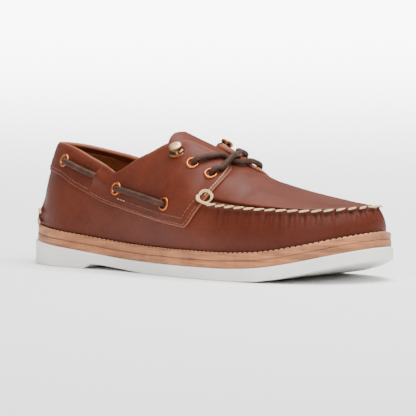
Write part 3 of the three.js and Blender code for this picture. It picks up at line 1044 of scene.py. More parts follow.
@dataclass(frozen=True)
class Hide(Finish):
    """Leather with a grain and a drifting, waxed colour."""

    dark: float = 0.6
    light: float = 1.5
    grain: float = 900.0
    depth: float = 0.00005
    coat: float = 0.2
    drift: float = 22.0
    specular: float = 0.12
    # colour of the raw cut edges, also laid along folded tops as a painted highlight
    edge: Colour = (0.25, 0.085, 0.045)
    # painted shade: the dark colour laid in the seam's groove, the troughs of its puckers and on the toe
    # wall
    painted_shade_colour: Colour = (0.034, 0.0045, 0.0016)

    def dress(self, nodes: Nodes, shader: bpy.types.Node, vector: bpy.types.NodeSocket) -> None:
        """Adds patina, grain, an uneven gloss, pale cut edges with a painted highlight along folds, and
        painted shade where a piece marks it.

        Args:
            nodes: The material's nodes.
            shader: The shader to dress.
            vector: The place on the piece.
        """
        patina = nodes.add("Group", {"node_tree": patina_group()}, Vector=vector, Scale=self.drift)
        patina.inputs["Dark"].default_value = solid_colour(self.colour, self.dark)
        patina.inputs["Middle"].default_value = solid_colour(self.colour)
        patina.inputs["Light"].default_value = solid_colour(self.colour, self.light)
        grain = nodes.add("Group", {"node_tree": hide_group()}, Vector=vector, Scale=self.grain)
        pores = nodes.maths("MULTIPLY", grain.outputs["Pores"], 0.45)
        dressed = nodes.blend(pores, patina.outputs["Color"], solid_colour(self.colour, self.dark * 0.7))
        # raw cut edges take the pale edge colour; along folded tops the same colour is a painted highlight
        raw_edge_and_fold_highlight = nodes.add("Attribute", {"attribute_name": "raw_edge_and_fold_highlight"}).outputs["Fac"]
        # the second mark lays painted shade in the seam's groove, its puckers' troughs and on the toe wall
        painted_shade = nodes.add("Attribute", {"attribute_name": "painted_shade"}).outputs["Fac"]
        darkened = nodes.blend(painted_shade, dressed, solid_colour(self.painted_shade_colour))
        nodes.wire(nodes.blend(raw_edge_and_fold_highlight, darkened, solid_colour(self.edge)), shader.inputs["Base Color"])
        drift = patina.outputs["Drift"]
        gloss = nodes.ramp(drift, 0.35, 0.65, self.roughness - 0.07, self.roughness + 0.09)
        nodes.wire(gloss, shader.inputs["Roughness"])
        shader.inputs["Coat Weight"].default_value = self.coat
        shader.inputs["Coat Roughness"].default_value = 0.35
        shader.inputs["Specular IOR Level"].default_value = self.specular
        self.bump(nodes, shader, grain.outputs["Height"], self.depth)


@dataclass(frozen=True)
class SoleEdge(Finish):
    """Sole leather cut and rubbed smooth at its edge: fine level layers."""

    layers: float = 480.0

    def dress(self, nodes: Nodes, shader: bpy.types.Node, vector: bpy.types.NodeSocket) -> None:
        """Adds level streaks, blotches and fibres.

        Args:
            nodes: The material's nodes.
            shader: The shader to dress.
            vector: The place on the piece.
        """
        flat = nodes.add("Mapping", {}, Vector=vector, Scale=(0.05, 0.05, 1.0))
        streaks = nodes.noise(flat.outputs[0], self.layers, 4.0, 0.7)
        blotch = nodes.noise(vector, 60.0, 4.0, 0.6)
        fibres = nodes.noise(vector, 2600.0, 3.0, 0.7)
        tone = nodes.weigh(streaks, 0.6, blotch, 0.4)
        base = nodes.blend(
            nodes.ramp(tone, 0.40, 0.60), solid_colour(self.colour, 0.55), solid_colour(self.colour, 1.25),
        )
        specks = nodes.ramp(fibres, 0.55, 0.8, 0.0, 0.35)
        speckled = nodes.blend(specks, base, solid_colour(self.colour, 0.5))
        nodes.wire(speckled, shader.inputs["Base Color"])
        nodes.wire(nodes.ramp(tone, 0.3, 0.7, 0.62, 0.42), shader.inputs["Roughness"])
        height = nodes.maths("ADD", streaks, nodes.maths("MULTIPLY", fibres, 0.5))
        self.bump(nodes, shader, height, 0.00012)


@dataclass(frozen=True)
class Rubber(Finish):
    """Matt moulded rubber with a faint mould texture."""

    def dress(self, nodes: Nodes, shader: bpy.types.Node, vector: bpy.types.NodeSocket) -> None:
        """Adds a soft unevenness and a trace of dust.

        Args:
            nodes: The material's nodes.
            shader: The shader to dress.
            vector: The place on the piece.
        """
        cloud = nodes.noise(vector, 28.0, 4.0, 0.6)
        speck = nodes.noise(vector, 900.0, 4.0, 0.7)
        tone = nodes.weigh(cloud, 0.6, speck, 0.4)
        colour = nodes.blend(
            nodes.ramp(tone, 0.35, 0.6), solid_colour(self.colour, 0.86), solid_colour(self.colour, 1.04),
        )
        nodes.wire(colour, shader.inputs["Base Color"])
        nodes.wire(nodes.ramp(speck, 0.3, 0.7, 0.55, 0.72), shader.inputs["Roughness"])
        self.bump(nodes, shader, speck, 0.00006)


@dataclass(frozen=True)
class Yarn(Finish):
    """Waxed thread: a twist that runs round each stitch."""

    def dress(self, nodes: Nodes, shader: bpy.types.Node, vector: bpy.types.NodeSocket) -> None:
        """Adds twist lines and a little soiling.

        Args:
            nodes: The material's nodes.
            shader: The shader to dress.
            vector: The place on the piece.
        """
        leaning = nodes.add("Mapping", {}, Vector=vector, Rotation=(0.0, 0.6, 0.7))
        twist = nodes.add(
            "TexWave", {"bands_direction": "X"}, Vector=leaning.outputs[0],
            Scale=330.0, Distortion=1.5, Detail=2.0,
        ).outputs[1]
        soil = nodes.noise(vector, 150.0, 3.0, 0.6)
        shade = solid_colour(self.colour, 0.6)
        plies = nodes.blend(nodes.ramp(twist, 0.0, 0.5), shade, solid_colour(self.colour))
        dirty = nodes.blend(nodes.ramp(soil, 0.45, 0.75, 0.0, 0.5), plies, solid_colour(self.colour, 0.55))
        nodes.wire(dirty, shader.inputs["Base Color"])
        self.bump(nodes, shader, twist, 0.0002)


@dataclass(frozen=True)
class Metal(Finish):
    """Plated metal with fine scratches and a little tarnish."""

    tarnish: float = 0.5

    def dress(self, nodes: Nodes, shader: bpy.types.Node, vector: bpy.types.NodeSocket) -> None:
        """Adds tarnish and scratches.

        Args:
            nodes: The material's nodes.
            shader: The shader to dress.
            vector: The place on the piece.
        """
        shader.inputs["Metallic"].default_value = 1.0
        stain = nodes.noise(vector, 350.0, 4.0, 0.6)
        dull = solid_colour(self.colour, self.tarnish)
        colour = nodes.blend(nodes.ramp(stain, 0.45, 0.7), solid_colour(self.colour), dull)
        nodes.wire(colour, shader.inputs["Base Color"])
        fine = nodes.noise(vector, 2600.0, 3.0, 0.7)
        gloss = nodes.ramp(fine, 0.3, 0.7, self.roughness - 0.06, self.roughness + 0.1)
        nodes.wire(gloss, shader.inputs["Roughness"])
        self.bump(nodes, shader, fine, 0.00002)


LEATHER = Hide(
    "red_brown_leather", "upper_leather", (0.10, 0.022, 0.011), 0.40, dark=0.76, light=1.25, coat=0.0,
)
LINING = Hide("lining_leather", "insole_leather", (0.19, 0.058, 0.02), 0.62, grain=700.0, coat=0.0)
# painted shade: a dark disc set inside each eyelet's hole
HOLE_SHADE = Hide("painted_eyelet_hole_shade", "lace_leather", (0.012, 0.008, 0.006), 0.8, coat=0.0)
LACE_LEATHER = Hide(
    "dark_lace_leather", "lace_leather", (0.055, 0.025, 0.016), 0.5,
    dark=0.5, light=1.9, grain=1100.0, depth=0.00009, coat=0.0, drift=70.0,
)
SOLE_LEATHER = SoleEdge("layered_sole_leather", "sole_leather", (0.36, 0.132, 0.048), 0.5)
WHITE_RUBBER = Rubber("white_rubber", "rubber", (0.80, 0.79, 0.735), 0.62)
CREAM_THREAD = Yarn("cream_thread", "upper_leather", (0.74, 0.50, 0.25), 0.7)
TAN_THREAD = Yarn("tan_thread", "upper_leather", (0.50, 0.32, 0.20), 0.7)
RED_THREAD = Yarn("red_brown_thread", "upper_leather", (0.17, 0.060, 0.034), 0.7)
WELT_THREAD = Yarn("welt_thread", "sole_leather", (0.5, 0.27, 0.14), 0.7)
COPPER = Metal("copper", "eyelet_copper", (0.52, 0.14, 0.035), 0.34, tarnish=0.45)
# the stud is one metal: the pale gold on its top is a painted highlight, the darker bronze of its cap a
# painted shade
HIGHLIGHT_GOLD = Metal("pale_gold_painted_highlight", "stud_gold", (0.84, 0.55, 0.35), 0.36, tarnish=0.8)
SHADE_BRONZE = Metal("bronze_painted_shade", "stud_gold", (0.50, 0.21, 0.075), 0.30, tarnish=0.5)
STEEL = Metal("stud_neck_steel", "stud_gold", (0.13, 0.075, 0.045), 0.16, tarnish=0.6)


# ---------------------------------------------------------------- sole
@dataclass
class Sole:
    """The rubber sole, the two leather layers, the insole and the welt's stitches."""

    workshop: Workshop
    columns: int = 300

    # piece, where its first bar begins, where its last one ends
    TREADS: ClassVar[tuple[tuple[str, float, float], ...]] = (
        ("heel_tread", 14.28, 62.3), ("forefoot_tread", 138.28, 210.3),
    )
    # where a bar's two feet and the two edges of its face lie, as shares of the pitch
    BAR: ClassVar[tuple[float, ...]] = (0.0, 0.12, 0.62, 0.74)

    def recess(self, x: float) -> float:
        """How far the rubber is sunk to take the tread's bars.

        Args:
            x: Place along the foot.

        Returns:
            The depth, 0 outside the tread.
        """
        return 1.55 * sum(
            smoothstep(x, start - 3.5, start - 0.5) * (1 - smoothstep(x, end + 0.5, end + 3.5))
            for _, start, end in self.TREADS
        )

    def spine(self, turn: float) -> tuple[float, float]:
        """Where the flat faces of a layer close, along the middle of the foot."""
        x = length_at(turn)
        return ridge_place(x), ridge_side(x)

    def layer(
        self, inset: float, bottom: Callable[[float], float], top: Callable[[float], float],
        rounding: float, recess: Callable[[float], float] | None = None,
    ) -> bmesh.types.BMesh:
        """A closed layer with rounded edges.

        Args:
            inset: How far its edge lies inside the midsole's.
            bottom: Height of its underside along the foot.
            top: Height of its top along the foot.
            rounding: Radius of its two edges.
            recess: How far its underside is sunk inside the edge, along the foot.

        Returns:
            The mesh, in millimetres.
        """
        arc, wall = 5, 7
        inner = 24 if recess else 6
        rows = 2 * (inner + arc) + wall

        def place(u: float, v: float) -> Vector:
            """Goes from the middle of the top, over the edge, to the middle below.

            Args:
                u: Share of the way round.
                v: Share of the way from the top to below.

            Returns:
                The point.
            """
            turn = u * TURN
            row = round(v * rows)
            below = row > rows / 2
            near = min(row, rows - row)
            face = bottom if below else top
            sign = -1 if below else 1
            if near <= inner:
                part = (near / inner) ** 0.6
                edge_x, edge_y = edge(turn, inset + rounding)
                spine_x, spine_y = self.spine(turn)
                x, y = mix(spine_x, edge_x, part), mix(spine_y, edge_y, part)
                sunk = recess(x) if recess and below and part < 0.93 else 0.0
                return Vector((x, y, face(x) + sunk))
            if near <= inner + arc:
                angle = (near - inner) / arc * math.pi / 2
                x, y = edge(turn, inset + rounding * (1 - math.sin(angle)))
                return Vector((x, y, face(x) - sign * rounding * (1 - math.cos(angle))))
            part = (row - inner - arc) / wall
            x, y = edge(turn, inset)
            return Vector((x, y, mix(top(x) - rounding, bottom(x) + rounding, part)))

        return mapped_grid(self.columns * (2 if recess else 1), rows, place)

    def tread(self, start: float, end: float, pitch: float) -> bmesh.types.BMesh:
        """Wavy bars across the underside.

        Args:
            start: Where the first bar begins.
            end: Where the last one ends.
            pitch: Distance from one bar to the next.

        Returns:
            The mesh, in millimetres.
        """
        bars = int((end - start) / pitch)
        rows, across = bars * len(self.BAR), 56
        margin, depth = 6.0, 1.5

        def spot(u: float, row: int, proud: float) -> Vector:
            """A point of the tread, proud of the groove's bottom.

            Args:
                u: Share of the way across.
                row: Which row along the foot.
                proud: Height of the bars above the groove.

            Returns:
                The point.
            """
            wave = 1.6 * math.sin(u * across * 0.8)
            bar, corner = divmod(row, len(self.BAR))
            x = start + bar * pitch + self.BAR[corner] * pitch
            inner = SIDEWAYS(turn_at(x, 1)) - margin
            outer = SIDEWAYS(turn_at(x, -1)) + margin
            edge_near = smoothstep(min(u, 1 - u), 0.0, 0.02)
            x += wave
            return Vector((x, mix(outer, inner, u), UNDERSIDE(x) + depth * (1 - proud * edge_near)))

        def place(u: float, v: float) -> Vector:
            """The bars below, and a flat back inside the rubber.

            Args:
                u: Share of the way across.
                v: Share of the way along below, and back above.

            Returns:
                The point.
            """
            row = round(v * (rows + 2))
            near = min(max(row - 1, 0), rows)
            if row in (0, rows + 2) or u in (0.0, 1.0):
                return spot(u, near, 0.0) + Vector((0, 0, 1.2))
            return spot(u, near, 1.0 if near % len(self.BAR) in (1, 2) else 0.0)

        mesh = mapped_grid(across, rows + 2, place)
        seal(mesh)
        return mesh

    def welt_stitches(self) -> bmesh.types.BMesh:
        """The stitches along the top of the welt.

        Returns:
            The mesh.
        """
        inset = 1.9
        path = []
        for k in range(361):
            turn = TURN * k / 360
            x, y = edge(turn, inset)
            path.append(Seat(Vector((x, y, welt_height(x) + 0.15)), Vector((0, 0, 1))))
        return thread(row_of_stitches(path, 4.1), 3.3, 0.55)

    def insole(self) -> bmesh.types.BMesh:
        """The footbed, a little hollow under the heel.

        Returns:
            The mesh.
        """
        inset = LEDGE + WALL + GAP
        base = Curve([(x, welt_height(x) + GAP) for x in range(0, 301, 20)])

        def top(x: float) -> float:
            """The footbed's height, dipping under the heel and the ball."""
            return base(x) + INSOLE - 0.6 * bell(x - 48, 24) - 0.5 * bell(x - 195, 30)

        return self.layer(inset, base, top, 1.2)

    def build(self) -> None:
        """Makes the sole's pieces."""
        finish = self.workshop.finish

        def rubber_bottom(x: float) -> float:
            """The rubber's underside at its edge."""
            return UNDERSIDE(x) + 0.02

        def raised(by: float) -> Curve:
            """The joint's height along the foot, raised a little."""
            return Curve([(x, RUBBER_TOP(x) + by) for x in range(0, 301, 12)])

        rubber = self.layer(-RUBBER_OUTSET, rubber_bottom, RUBBER_TOP, 1.1, self.recess)
        finish(rubber, "rubber_sole", WHITE_RUBBER, ["outsole"])
        for name, start, end in self.TREADS:
            finish(self.tread(start, end, 4.0), name, WHITE_RUBBER, [])
        midsole = self.layer(0.0, raised(0.05), raised(GAP + LAYER), 0.7)
        finish(midsole, "leather_midsole", SOLE_LEATHER, ["midsole"])
        welt = self.layer(0.3, raised(2 * GAP + LAYER - 0.25), raised(2 * (GAP + LAYER)), 0.8)
        finish(welt, "leather_welt", SOLE_LEATHER, ["welt"])
        finish(self.insole(), "footbed", LINING, ["insole"])
        finish(self.welt_stitches(), "welt_stitches", WELT_THREAD, [])


# ---------------------------------------------------------------- upper
@dataclass
class Upper:
    """The leather upper: its shell, lining, quarters, heel band, tongue and seams."""

    workshop: Workshop
    stitch_pitch: float = 8.3
    stitch_length: float = 7.9
    stitch_radius: float = 0.74
    stitch_row: float = 0.392  # height up the last
    stitch_lean: float = 0.30  # how steeply a stitch climbs
    lip: float = 1.7
    lip_row: float = 0.395
    groove_depth: float = 1.9
    groove_row: float = 0.437
    seam_from: float = 186.0  # where the moccasin seam starts, along the foot
    heel_end: float = 26.0  # how far forward the heel's seams are looked for
    shell_columns: int = 560
    shell_step: float = 0.024  # how far below the rim the shell ends
    lining_columns: int = 200
    lining_step: float = 0.034  # how far below the rim the lining ends

    # share of the columns, share of the turn: close together round the toe and at the heel
    SPREAD: ClassVar[Curve] = Curve([
        (0.0, 0.0), (0.03, 0.006), (0.06, 0.03), (0.18, 0.27), (0.5, 0.5),
        (0.82, 0.73), (0.94, 0.97), (0.97, 0.994), (1.0, 1.0),
    ])

    def crease(self, column: Column, up: float) -> float:
        """How far the soft troughs sink the leather.

        Args:
            column: The last's column.
            up: Height up the last, from 0 at the foot to 1 at the centre line.

        Returns:
            The depth.
        """
        side = -1 if column.lateral else 1
        return -(1 - smoothstep(up, 0.84, 1.0)) * sum(
            depth * bell(column.x - x, length) * bell(up - at, height)
            for x, at, depth, length, height, where in CREASES
            if where == side
        )

    def pucker(self, arc: float) -> float:
        """The fine folds gathered under the seam, at a distance along it."""
        return math.sin(TURN * arc / (self.stitch_pitch * 0.43)) + 0.6 * math.sin(arc * 1.13)

    def relief(self, column: Column, up: float) -> float:
        """How far the shell's face stands off the last: seams, puckers and creases.

        Args:
            column: The last's column.
            up: Height up the last, from 0 at the foot to 1 at the centre line.

        Returns:
            The distance, less than nothing in a groove.
        """
        height = self.crease(column, up)
        front = smoothstep(column.x, self.seam_from - 3, self.seam_from + 4)
        if front > 0 and abs(up - 0.36) < 0.24:
            arc = seam_arcs()(column.turn % TURN)
            wave = math.cos(TURN * arc / self.stitch_pitch)
            fine = self.pucker(arc)
            height += front * self.lip * (0.88 + 0.12 * wave) * bell(up - self.lip_row, 0.019)
            height -= front * self.groove_depth * bell(up - self.groove_row, 0.016)
            under = smoothstep(up, 0.16, 0.37) * (1 - smoothstep(up, 0.385, 0.40))
            height += front * under * (0.24 * fine + 0.2 * wave)
        if column.x < self.heel_end:
            across = abs(column.point(up, 0.0).y) - HEEL_SEAM
            low = 1 - smoothstep(up, 0.075, 0.105)
            height += (0.35 + 2.0 * low) * bell(abs(across) - 1.5, 1.1) + 1.6 * low * bell(across, 6.0)
            height -= (0.5 + 1.4 * low) * bell(across, 0.6) * (1 - smoothstep(up, 0.4, 0.5))
        return height

    def painted_shade(self, column: Column, up: float) -> float:
        """How far painted shade darkens the leather: in the seam's groove, the troughs of its puckers, and
        on the toe wall.

        Args:
            column: The last's column.
            up: Height up the last, from 0 at the foot to 1 at the centre line.

        Returns:
            The share of wax, from 0 to 1.
        """
        front = smoothstep(column.x, self.seam_from - 3, self.seam_from + 4)
        fine = self.pucker(seam_arcs()(column.turn % TURN))
        under = smoothstep(up, 0.20, 0.35) * (1 - smoothstep(up, 0.385, 0.40))
        toe = smoothstep(column.x, 186, 214) * (1 - smoothstep(up, 0.38, 0.41))
        groove = bell(up - self.groove_row, 0.024)
        # painted shade: darkest in the groove, less in the puckers' troughs and on the toe wall
        dark = 0.9 * front * groove + 0.2 * front * under * max(0.0, -fine) + 0.36 * toe
        return min(dark, 1.0)

    def shell(self) -> bmesh.types.BMesh:
        """The upper's wall, from the welt to under the folded topline.

        Returns:
            The mesh.
        """
        lower = [0.0, 0.012, 0.03, 0.06, 0.10, 0.14, 0.18, 0.22, 0.26, 0.30, 0.325]
        seam = [0.34 + 0.006 * k for k in range(21)]
        crown = [0.475, 0.50, 0.54, 0.58, 0.63, 0.68, 0.73, 0.78, 0.83, 0.88, 0.93, 0.97, 1.0]
        ups = lower + seam + crown
        inner = [1.0, 0.9, 0.75, 0.6, 0.45, 0.3, 0.15, 0.0]
        split = 0.46
        rows = len(ups) + len(inner)

        def spot(u: float, v: float) -> tuple[Column, float, bool]:
            """The column, the height up it, and whether the point is on the outer face.

            Args:
                u: Share of the way round or along.
                v: Share of the way through the rows.

            Returns:
                The column, the height up it, and True on the outer face.
            """
            column = column_at(TURN * self.SPREAD(u))
            rim = rim_at(column.turn, 0.0, UPPER_FRONT)
            if rim < 0.999:
                rim -= self.shell_step * (1 - smoothstep(column.x, 178, 188))
            row = round(v * rows) % rows
            if row >= len(ups):
                return column, inner[row - len(ups)] * rim, False
            up = ups[row]
            share = min(rim / 0.5, 1.0)
            up = up * share if up <= split else mix(split * share, rim, (up - split) / (1 - split))
            return column, up, True

        def place(u: float, v: float) -> Vector:
            """Up the outer face, over the edge, down the inner face, and closed below."""
            column, up, outside = spot(u, v)
            return column.point(up, self.relief(column, up) if outside else -WALL)

        def painted_shade(u: float, v: float) -> float:
            """Painted shade in the seam's groove and its puckers, and a little round the toe."""
            column, up, outside = spot(u, v)
            return self.painted_shade(column, up) if outside else 0.0

        mesh = mapped_grid(self.shell_columns, rows, place, {"painted_shade": painted_shade})
        # along the centre line the two halves' inner faces meet back to back, so they go
        inside = [face for face in mesh.faces if sum(len(line.link_faces) > 2 for line in face.edges) > 1]
        bmesh.ops.delete(mesh, geom=inside, context="FACES")
        seal(mesh)
        return mesh

    def lining(self) -> bmesh.types.BMesh:
        """The lining inside the shell.

        Returns:
            The mesh.
        """
        rows = 24

        def place(u: float, v: float) -> Vector:
            """Down the face of the lining and back up inside the wall.

            Args:
                u: Share of the way round or along.
                v: Share of the way through the rows.

            Returns:
                The point.
            """
            column = column_at(TURN * u)
            rim = rim_at(column.turn, 0.0, UPPER_FRONT) - self.lining_step
            row = round(v * rows)
            if row == rows:
                row = 0
            half = rows // 2
            up = (1 - min(row, rows - row) / half) * (rim - 0.02) + 0.02
            return column.point(up, -WALL - 0.25 if row <= half else -WALL + 0.5)

        return mapped_grid(self.lining_columns, rows, place)

    def tunnel(self, x: float, up: float) -> float:
        """How far the heel's lace, under the quarter, lifts the leather.

        Args:
            x: Place along the foot.
            up: Height up the last, from 0 at the foot to 1 at the centre line.

        Returns:
            The height of the lift.
        """
        line = mix(0.335, 0.285, (x - 68) / 26)
        along = smoothstep(x, 60, 66) * (1 - 0.75 * smoothstep(x, 72, 92)) * (1 - smoothstep(x, 90, 97))
        return 2.6 * along * bell(up - line, 0.042)

    def panel(
        self, columns: int, rows: int, where: Callable[[float, float], tuple[float, float]],
        offset: float, fold: Callable[[float], float], span: tuple[float, float],
        lift: Callable[[float, float], float], raw: float = 1.0,
    ) -> bmesh.types.BMesh:
        """A panel of leather on the last, with cut edges and a folded top.

        Args:
            columns: Faces across.
            rows: Faces up each side.
            where: Gives the turn and the height up the last at (s, t).
            offset: The outer face's distance from the last.
            fold: How far the top is folded in, 0 to 1, along s.
            span: The panel's rough width and height.
            lift: How far something beneath lifts it, at a place along and up the last.
            raw: How pale the cut edges are, 0 to 1.

        Returns:
            The mesh, in millimetres.
        """
        border = [0.0, 0.12, 0.35, 0.7]
        width, height = span

        def spaced(index: int, count: int, size: float) -> tuple[float, float]:
            """A line's share of the panel, and its distance from the nearer border.

            Args:
                index: Which line.
                count: How many lines.
                size: The panel's length across them.

            Returns:
                The share, and the distance.
            """
            near = min(index, count - index)
            share = border[near] / size if near < len(border) else mix(
                border[-1] / size, 0.5, (near - len(border) + 1) / (count / 2 - len(border) + 1)
            )
            return (share if index <= count / 2 else 1 - share), share * size

        def place(u: float, v: float) -> Vector:
            """The outer face for the first half of v, the inner face for the other.

            Args:
                u: Share of the way round or along.
                v: Share of the way through the rows.

            Returns:
                The point.
            """
            line = round(v * 2 * rows)
            inside = line > rows
            row = 2 * rows - line if inside else line
            s, side_gap = spaced(round(u * columns), columns, width)
            t, _ = spaced(row, rows, height)
            turn, up = where(s, t)
            folded = fold(s)
            top_gap = (1 - t) * height
            inner = GAP - folded * (GAP + WALL + 0.45) * (1 - smoothstep(top_gap, 7.0, 8.5))
            half = (offset - inner) / 2
            top_radius = mix(0.6, half, folded)
            shape = 1.0
            for gap, radius in ((side_gap, 0.6), (t * height, 0.6), (top_gap, top_radius)):
                shape = min(shape, math.sqrt(max(1 - (1 - min(gap / radius, 1.0)) ** 2, 0.0)))
            reach = (offset + inner) / 2 + (-half if inside else half) * shape
            column = column_at(turn)
            groove = -0.45 * fold(s) * bell(top_gap - 2.9, 0.7) * (0.0 if inside else shape)
            groove -= 1.3 * folded * max(1 - top_gap / 5, 0.0) ** 2
            return column.point(up, reach + groove + self.crease(column, up) + lift(column.x, up))

        def raw_edge_and_fold_highlight(u: float, v: float) -> float:
            """Raw at the cut edges, and a painted highlight along the fold.

            Args:
                u: Share of the way round or along.
                v: Share of the way through the rows.

            Returns:
                The share of the pale edge colour, from 0 to 1.
            """
            line = round(v * 2 * rows)
            row = 2 * rows - line if line > rows else line
            s, side_gap = spaced(round(u * columns), columns, width)
            t, _ = spaced(row, rows, height)
            cut_gap = min(side_gap, t * height)
            top_gap = (1 - t) * height
            # painted highlight: the pale edge colour laid in a strip along the folded top
            fold_highlight = 0.7 * (1 - smoothstep(top_gap, 1.2, 2.6)) * fold(s)
            cut_gap = min(cut_gap, mix(top_gap, 9.0, fold(s)))
            return max(raw * (1 - smoothstep(cut_gap, 0.15, 0.6)), fold_highlight)

        return mapped_grid(columns, 2 * rows, place, {"raw_edge_and_fold_highlight": raw_edge_and_fold_highlight})

    def quarter_place(self, side: Side, s: float, t: float) -> tuple[float, float]:
        """The turn and height up the last of a point of the quarter.

        Args:
            side: Which quarter.
            s: 0 at the rear edge, 1 at the front edge.
            t: 0 at the lower edge, 1 at the topline.

        Returns:
            The turn and the height.
        """
        rear_low, rear_top, corner = 67.5, 76.0, 170.0
        corner_up, top_up = 0.171, 0.862
        x = mix(mix(rear_low, rear_top, t), QUARTER_FRONT(mix(corner_up, top_up, t)), s)
        low_turn = turn_at(mix(rear_low, corner, s), side.value)
        top_turn = turn_at(mix(rear_top, QUARTER_FRONT(top_up), s), side.value)
        low = level_cache(low_turn, GAP + OVERLAY)
        top = rim_at(top_turn, GAP + OVERLAY, FACING_FRONT)
        return turn_at(x, side.value), mix(low, top, t)

    def quarter(self, side: Side) -> bmesh.types.BMesh:
        """One quarter panel, its topline folded in, its other edges cut.

        Args:
            side: Which side.

        Returns:
            The mesh.
        """
        return self.panel(
            120, 44, lambda s, t: self.quarter_place(side, s, t), GAP + OVERLAY,
            lambda s: 1 - smoothstep(s, 0.72, 0.97), (112.0, 46.0), self.tunnel,
        )

    def band_place(self, s: float, t: float) -> tuple[float, float]:
        """The turn and height up the last of a point of the heel band.

        Args:
            s: Share of the way round the heel.
            t: Share of the way up.

        Returns:
            The turn, and the height up the last.
        """
        low_end, top_end = 68.6, 79.0

        def turned(end: float) -> float:
            """The turn at the share s, where the band's ends lie at a place along the foot."""
            return mix(turn_at(end, -1), turn_at(end, 1), s)

        low = level_cache(turned(low_end), GAP + BAND)
        top = rim_at(turned(top_end), GAP + BAND, UPPER_FRONT)
        return turned(mix(low_end, top_end, t)), mix(low, top, t)

    def band(self) -> bmesh.types.BMesh:
        """The band round the heel, folded in at the collar.

        Returns:
            The mesh.
        """

        def slot(x: float, up: float) -> float:
            """The trench that the heel's lace has pressed into the band."""
            line = 0.375 - 0.0012 * (x - 34)
            return -0.9 * smoothstep(x, 34, 40) * bell(up - line - 0.012, 0.024)

        return self.panel(170, 30, self.band_place, GAP + BAND, lambda s: 1.0, (190.0, 25.0), slot, 0.35)

    def tongue(self) -> bmesh.types.BMesh:
        """The tongue: a thick sheet under the facings, with a round tip.

        Returns:
            The mesh.
        """
        tip, root, half = 125.0, 204.0, 29.5
        columns, rows = 40, 44

        def place(u: float, v: float) -> Vector:
            """The upper face for the first half of v, the lower face for the other.

            Args:
                u: Share of the way round or along.
                v: Share of the way through the rows.

            Returns:
                The point.
            """
            line = round(v * 2 * rows)
            row = 2 * rows - line if line > rows else line
            along = (row / rows) ** 1.4
            gap = along * (root - tip)
            spine = tip + gap
            width = half * max(1 - (1 - min(gap / 24, 1.0)) ** 2.4, 0.0) ** 0.5
            width -= 6.5 * smoothstep(gap, 24, 50)
            x = solve(60, 260, lambda place_x: ridge_place(place_x) > spine)
            across = u * 2 - 1
            turn = turn_at(x, 1 if across >= 0 else -1)
            column = column_at(turn)
            wanted = abs(across) * width
            up = 1 - solve(0.0, 0.5, lambda down: abs(
                column.point(1 - down, -WALL - GAP, False).y - column.spine_y) > wanted)
            near = min(gap, (1 - abs(across)) * width, (root - spine))
            shape = math.sqrt(max(1 - (1 - min(near / 1.1, 1.0)) ** 2, 0.0))
            middle = -WALL - GAP - TONGUE / 2
            lift = 0.8 * (1 - smoothstep(gap, 0, 18))
            reach = TONGUE / 2 * shape * (-1 if line > rows else 1)
            return column.point(up, middle + reach + lift, False)

        return mapped_grid(columns, 2 * rows, place)

    def seam_stitches(self) -> bmesh.types.BMesh:
        """The thick stitches over the lip of the moccasin seam.

        Returns:
            The mesh.
        """
        arcs = seam_arcs()
        start = arcs(turn_at(self.seam_from + 7, 1))
        end = arcs(TURN + turn_at(self.seam_from + 7, -1))
        count = round((end - start) / self.stitch_pitch)
        rows = [(arcs(TURN * k / 720), TURN * k / 720) for k in range(721)]
        turn_of_arc = Curve(rows)
        places = []
        for k in range(count + 1):
            arc = mix(start, end, k / count)
            turn = turn_of_arc(arc)
            here = seat_at(turn, self.stitch_row, self.lip + 0.2)
            ahead = column_at(turn_of_arc(arc + 1.0)).point(self.stitch_row, self.lip + 0.2) - here.point
            climb = column_at(turn).point(0.43, self.lip) - here.point
            along = ahead.normalized() * (-1 if math.sin(turn) < 0 else 1)
            along = along + climb.normalized() * self.stitch_lean
            places.append((here.point, along, here.normal))
        return thread(places, self.stitch_length, self.stitch_radius, taper=0.14)

    def loop(self, side: Side) -> bmesh.types.BMesh:
        """The ring of thread over the quarter's edge, where the seam starts.

        Args:
            side: Which side.

        Returns:
            The mesh.
        """

        def ring(middle_x: float, middle_up: float, wide: float, tall: float, lift: float) -> list[Vector]:
            """Points round a ring on the leather, standing clear of it.

            Args:
                middle_x: The ring's place along the foot.
                middle_up: Its height up the last.
                wide: Half its length.
                tall: Half its height.
                lift: How far it stands off.

            Returns:
                The ring's points.
            """
            points = []
            for k in range(17):
                angle = TURN * (k / 16 - 0.3)
                x = middle_x + wide * math.cos(angle)
                over_panel = 1 - smoothstep(x, QUARTER_FRONT(middle_up) - 2, QUARTER_FRONT(middle_up) + 3)
                height = mix(1.3, GAP + OVERLAY + 0.7, over_panel)
                points.append(seat(x, middle_up + tall * math.sin(angle), side, height + lift).point)
            return points

        outward = seat(184, 0.44, side, 2.0).normal
        mesh = swept(smooth_path(ring(184.6, 0.445, 5.4, 0.047, 0.0), 3), 1.2, 1.2, outward, 8)
        join(mesh, swept(smooth_path(ring(184.4, 0.445, 4.2, 0.037, -0.3), 3)[14:40], 1.0, 1.0, outward, 8))
        tail = [seat(x, up, side, lift).point for x, up, lift in (
            (178.6, 0.425, 3.0), (180.0, 0.402, 3.2), (183.5, 0.396, 3.1),
            (188.0, 0.392, 2.6), (192.0, 0.392, 2.3),
        )]
        join(mesh, swept(smooth_path(tail, 4), 1.9, 1.7, outward, 8))
        return mesh

    def heel_stitches(self) -> bmesh.types.BMesh:
        """Thick stitches beside the two seams at the back of the heel.

        Returns:
            The mesh.
        """
        outer = solve(-0.8, 0.0, lambda value: column_at(value).point(0.04).y > -HEEL_SEAM - 4.0)
        step = 0.02
        slant = Vector((0, 0, -0.22))
        places = []
        for turn in (outer, -outer):
            for up in (0.02, 0.068):
                around = column_at(turn * (1 + step)).point(up) - column_at(turn * (1 - step)).point(up)
                outward = Vector((-abs(around.y), around.x * math.copysign(1, turn), 0.0)).normalized()
                foot = column_at(turn).point(up, 2.4)
                places.append((foot + outward * 0.5, around.normalized() + slant, outward))
        return thread(places, 10.0, 1.15)

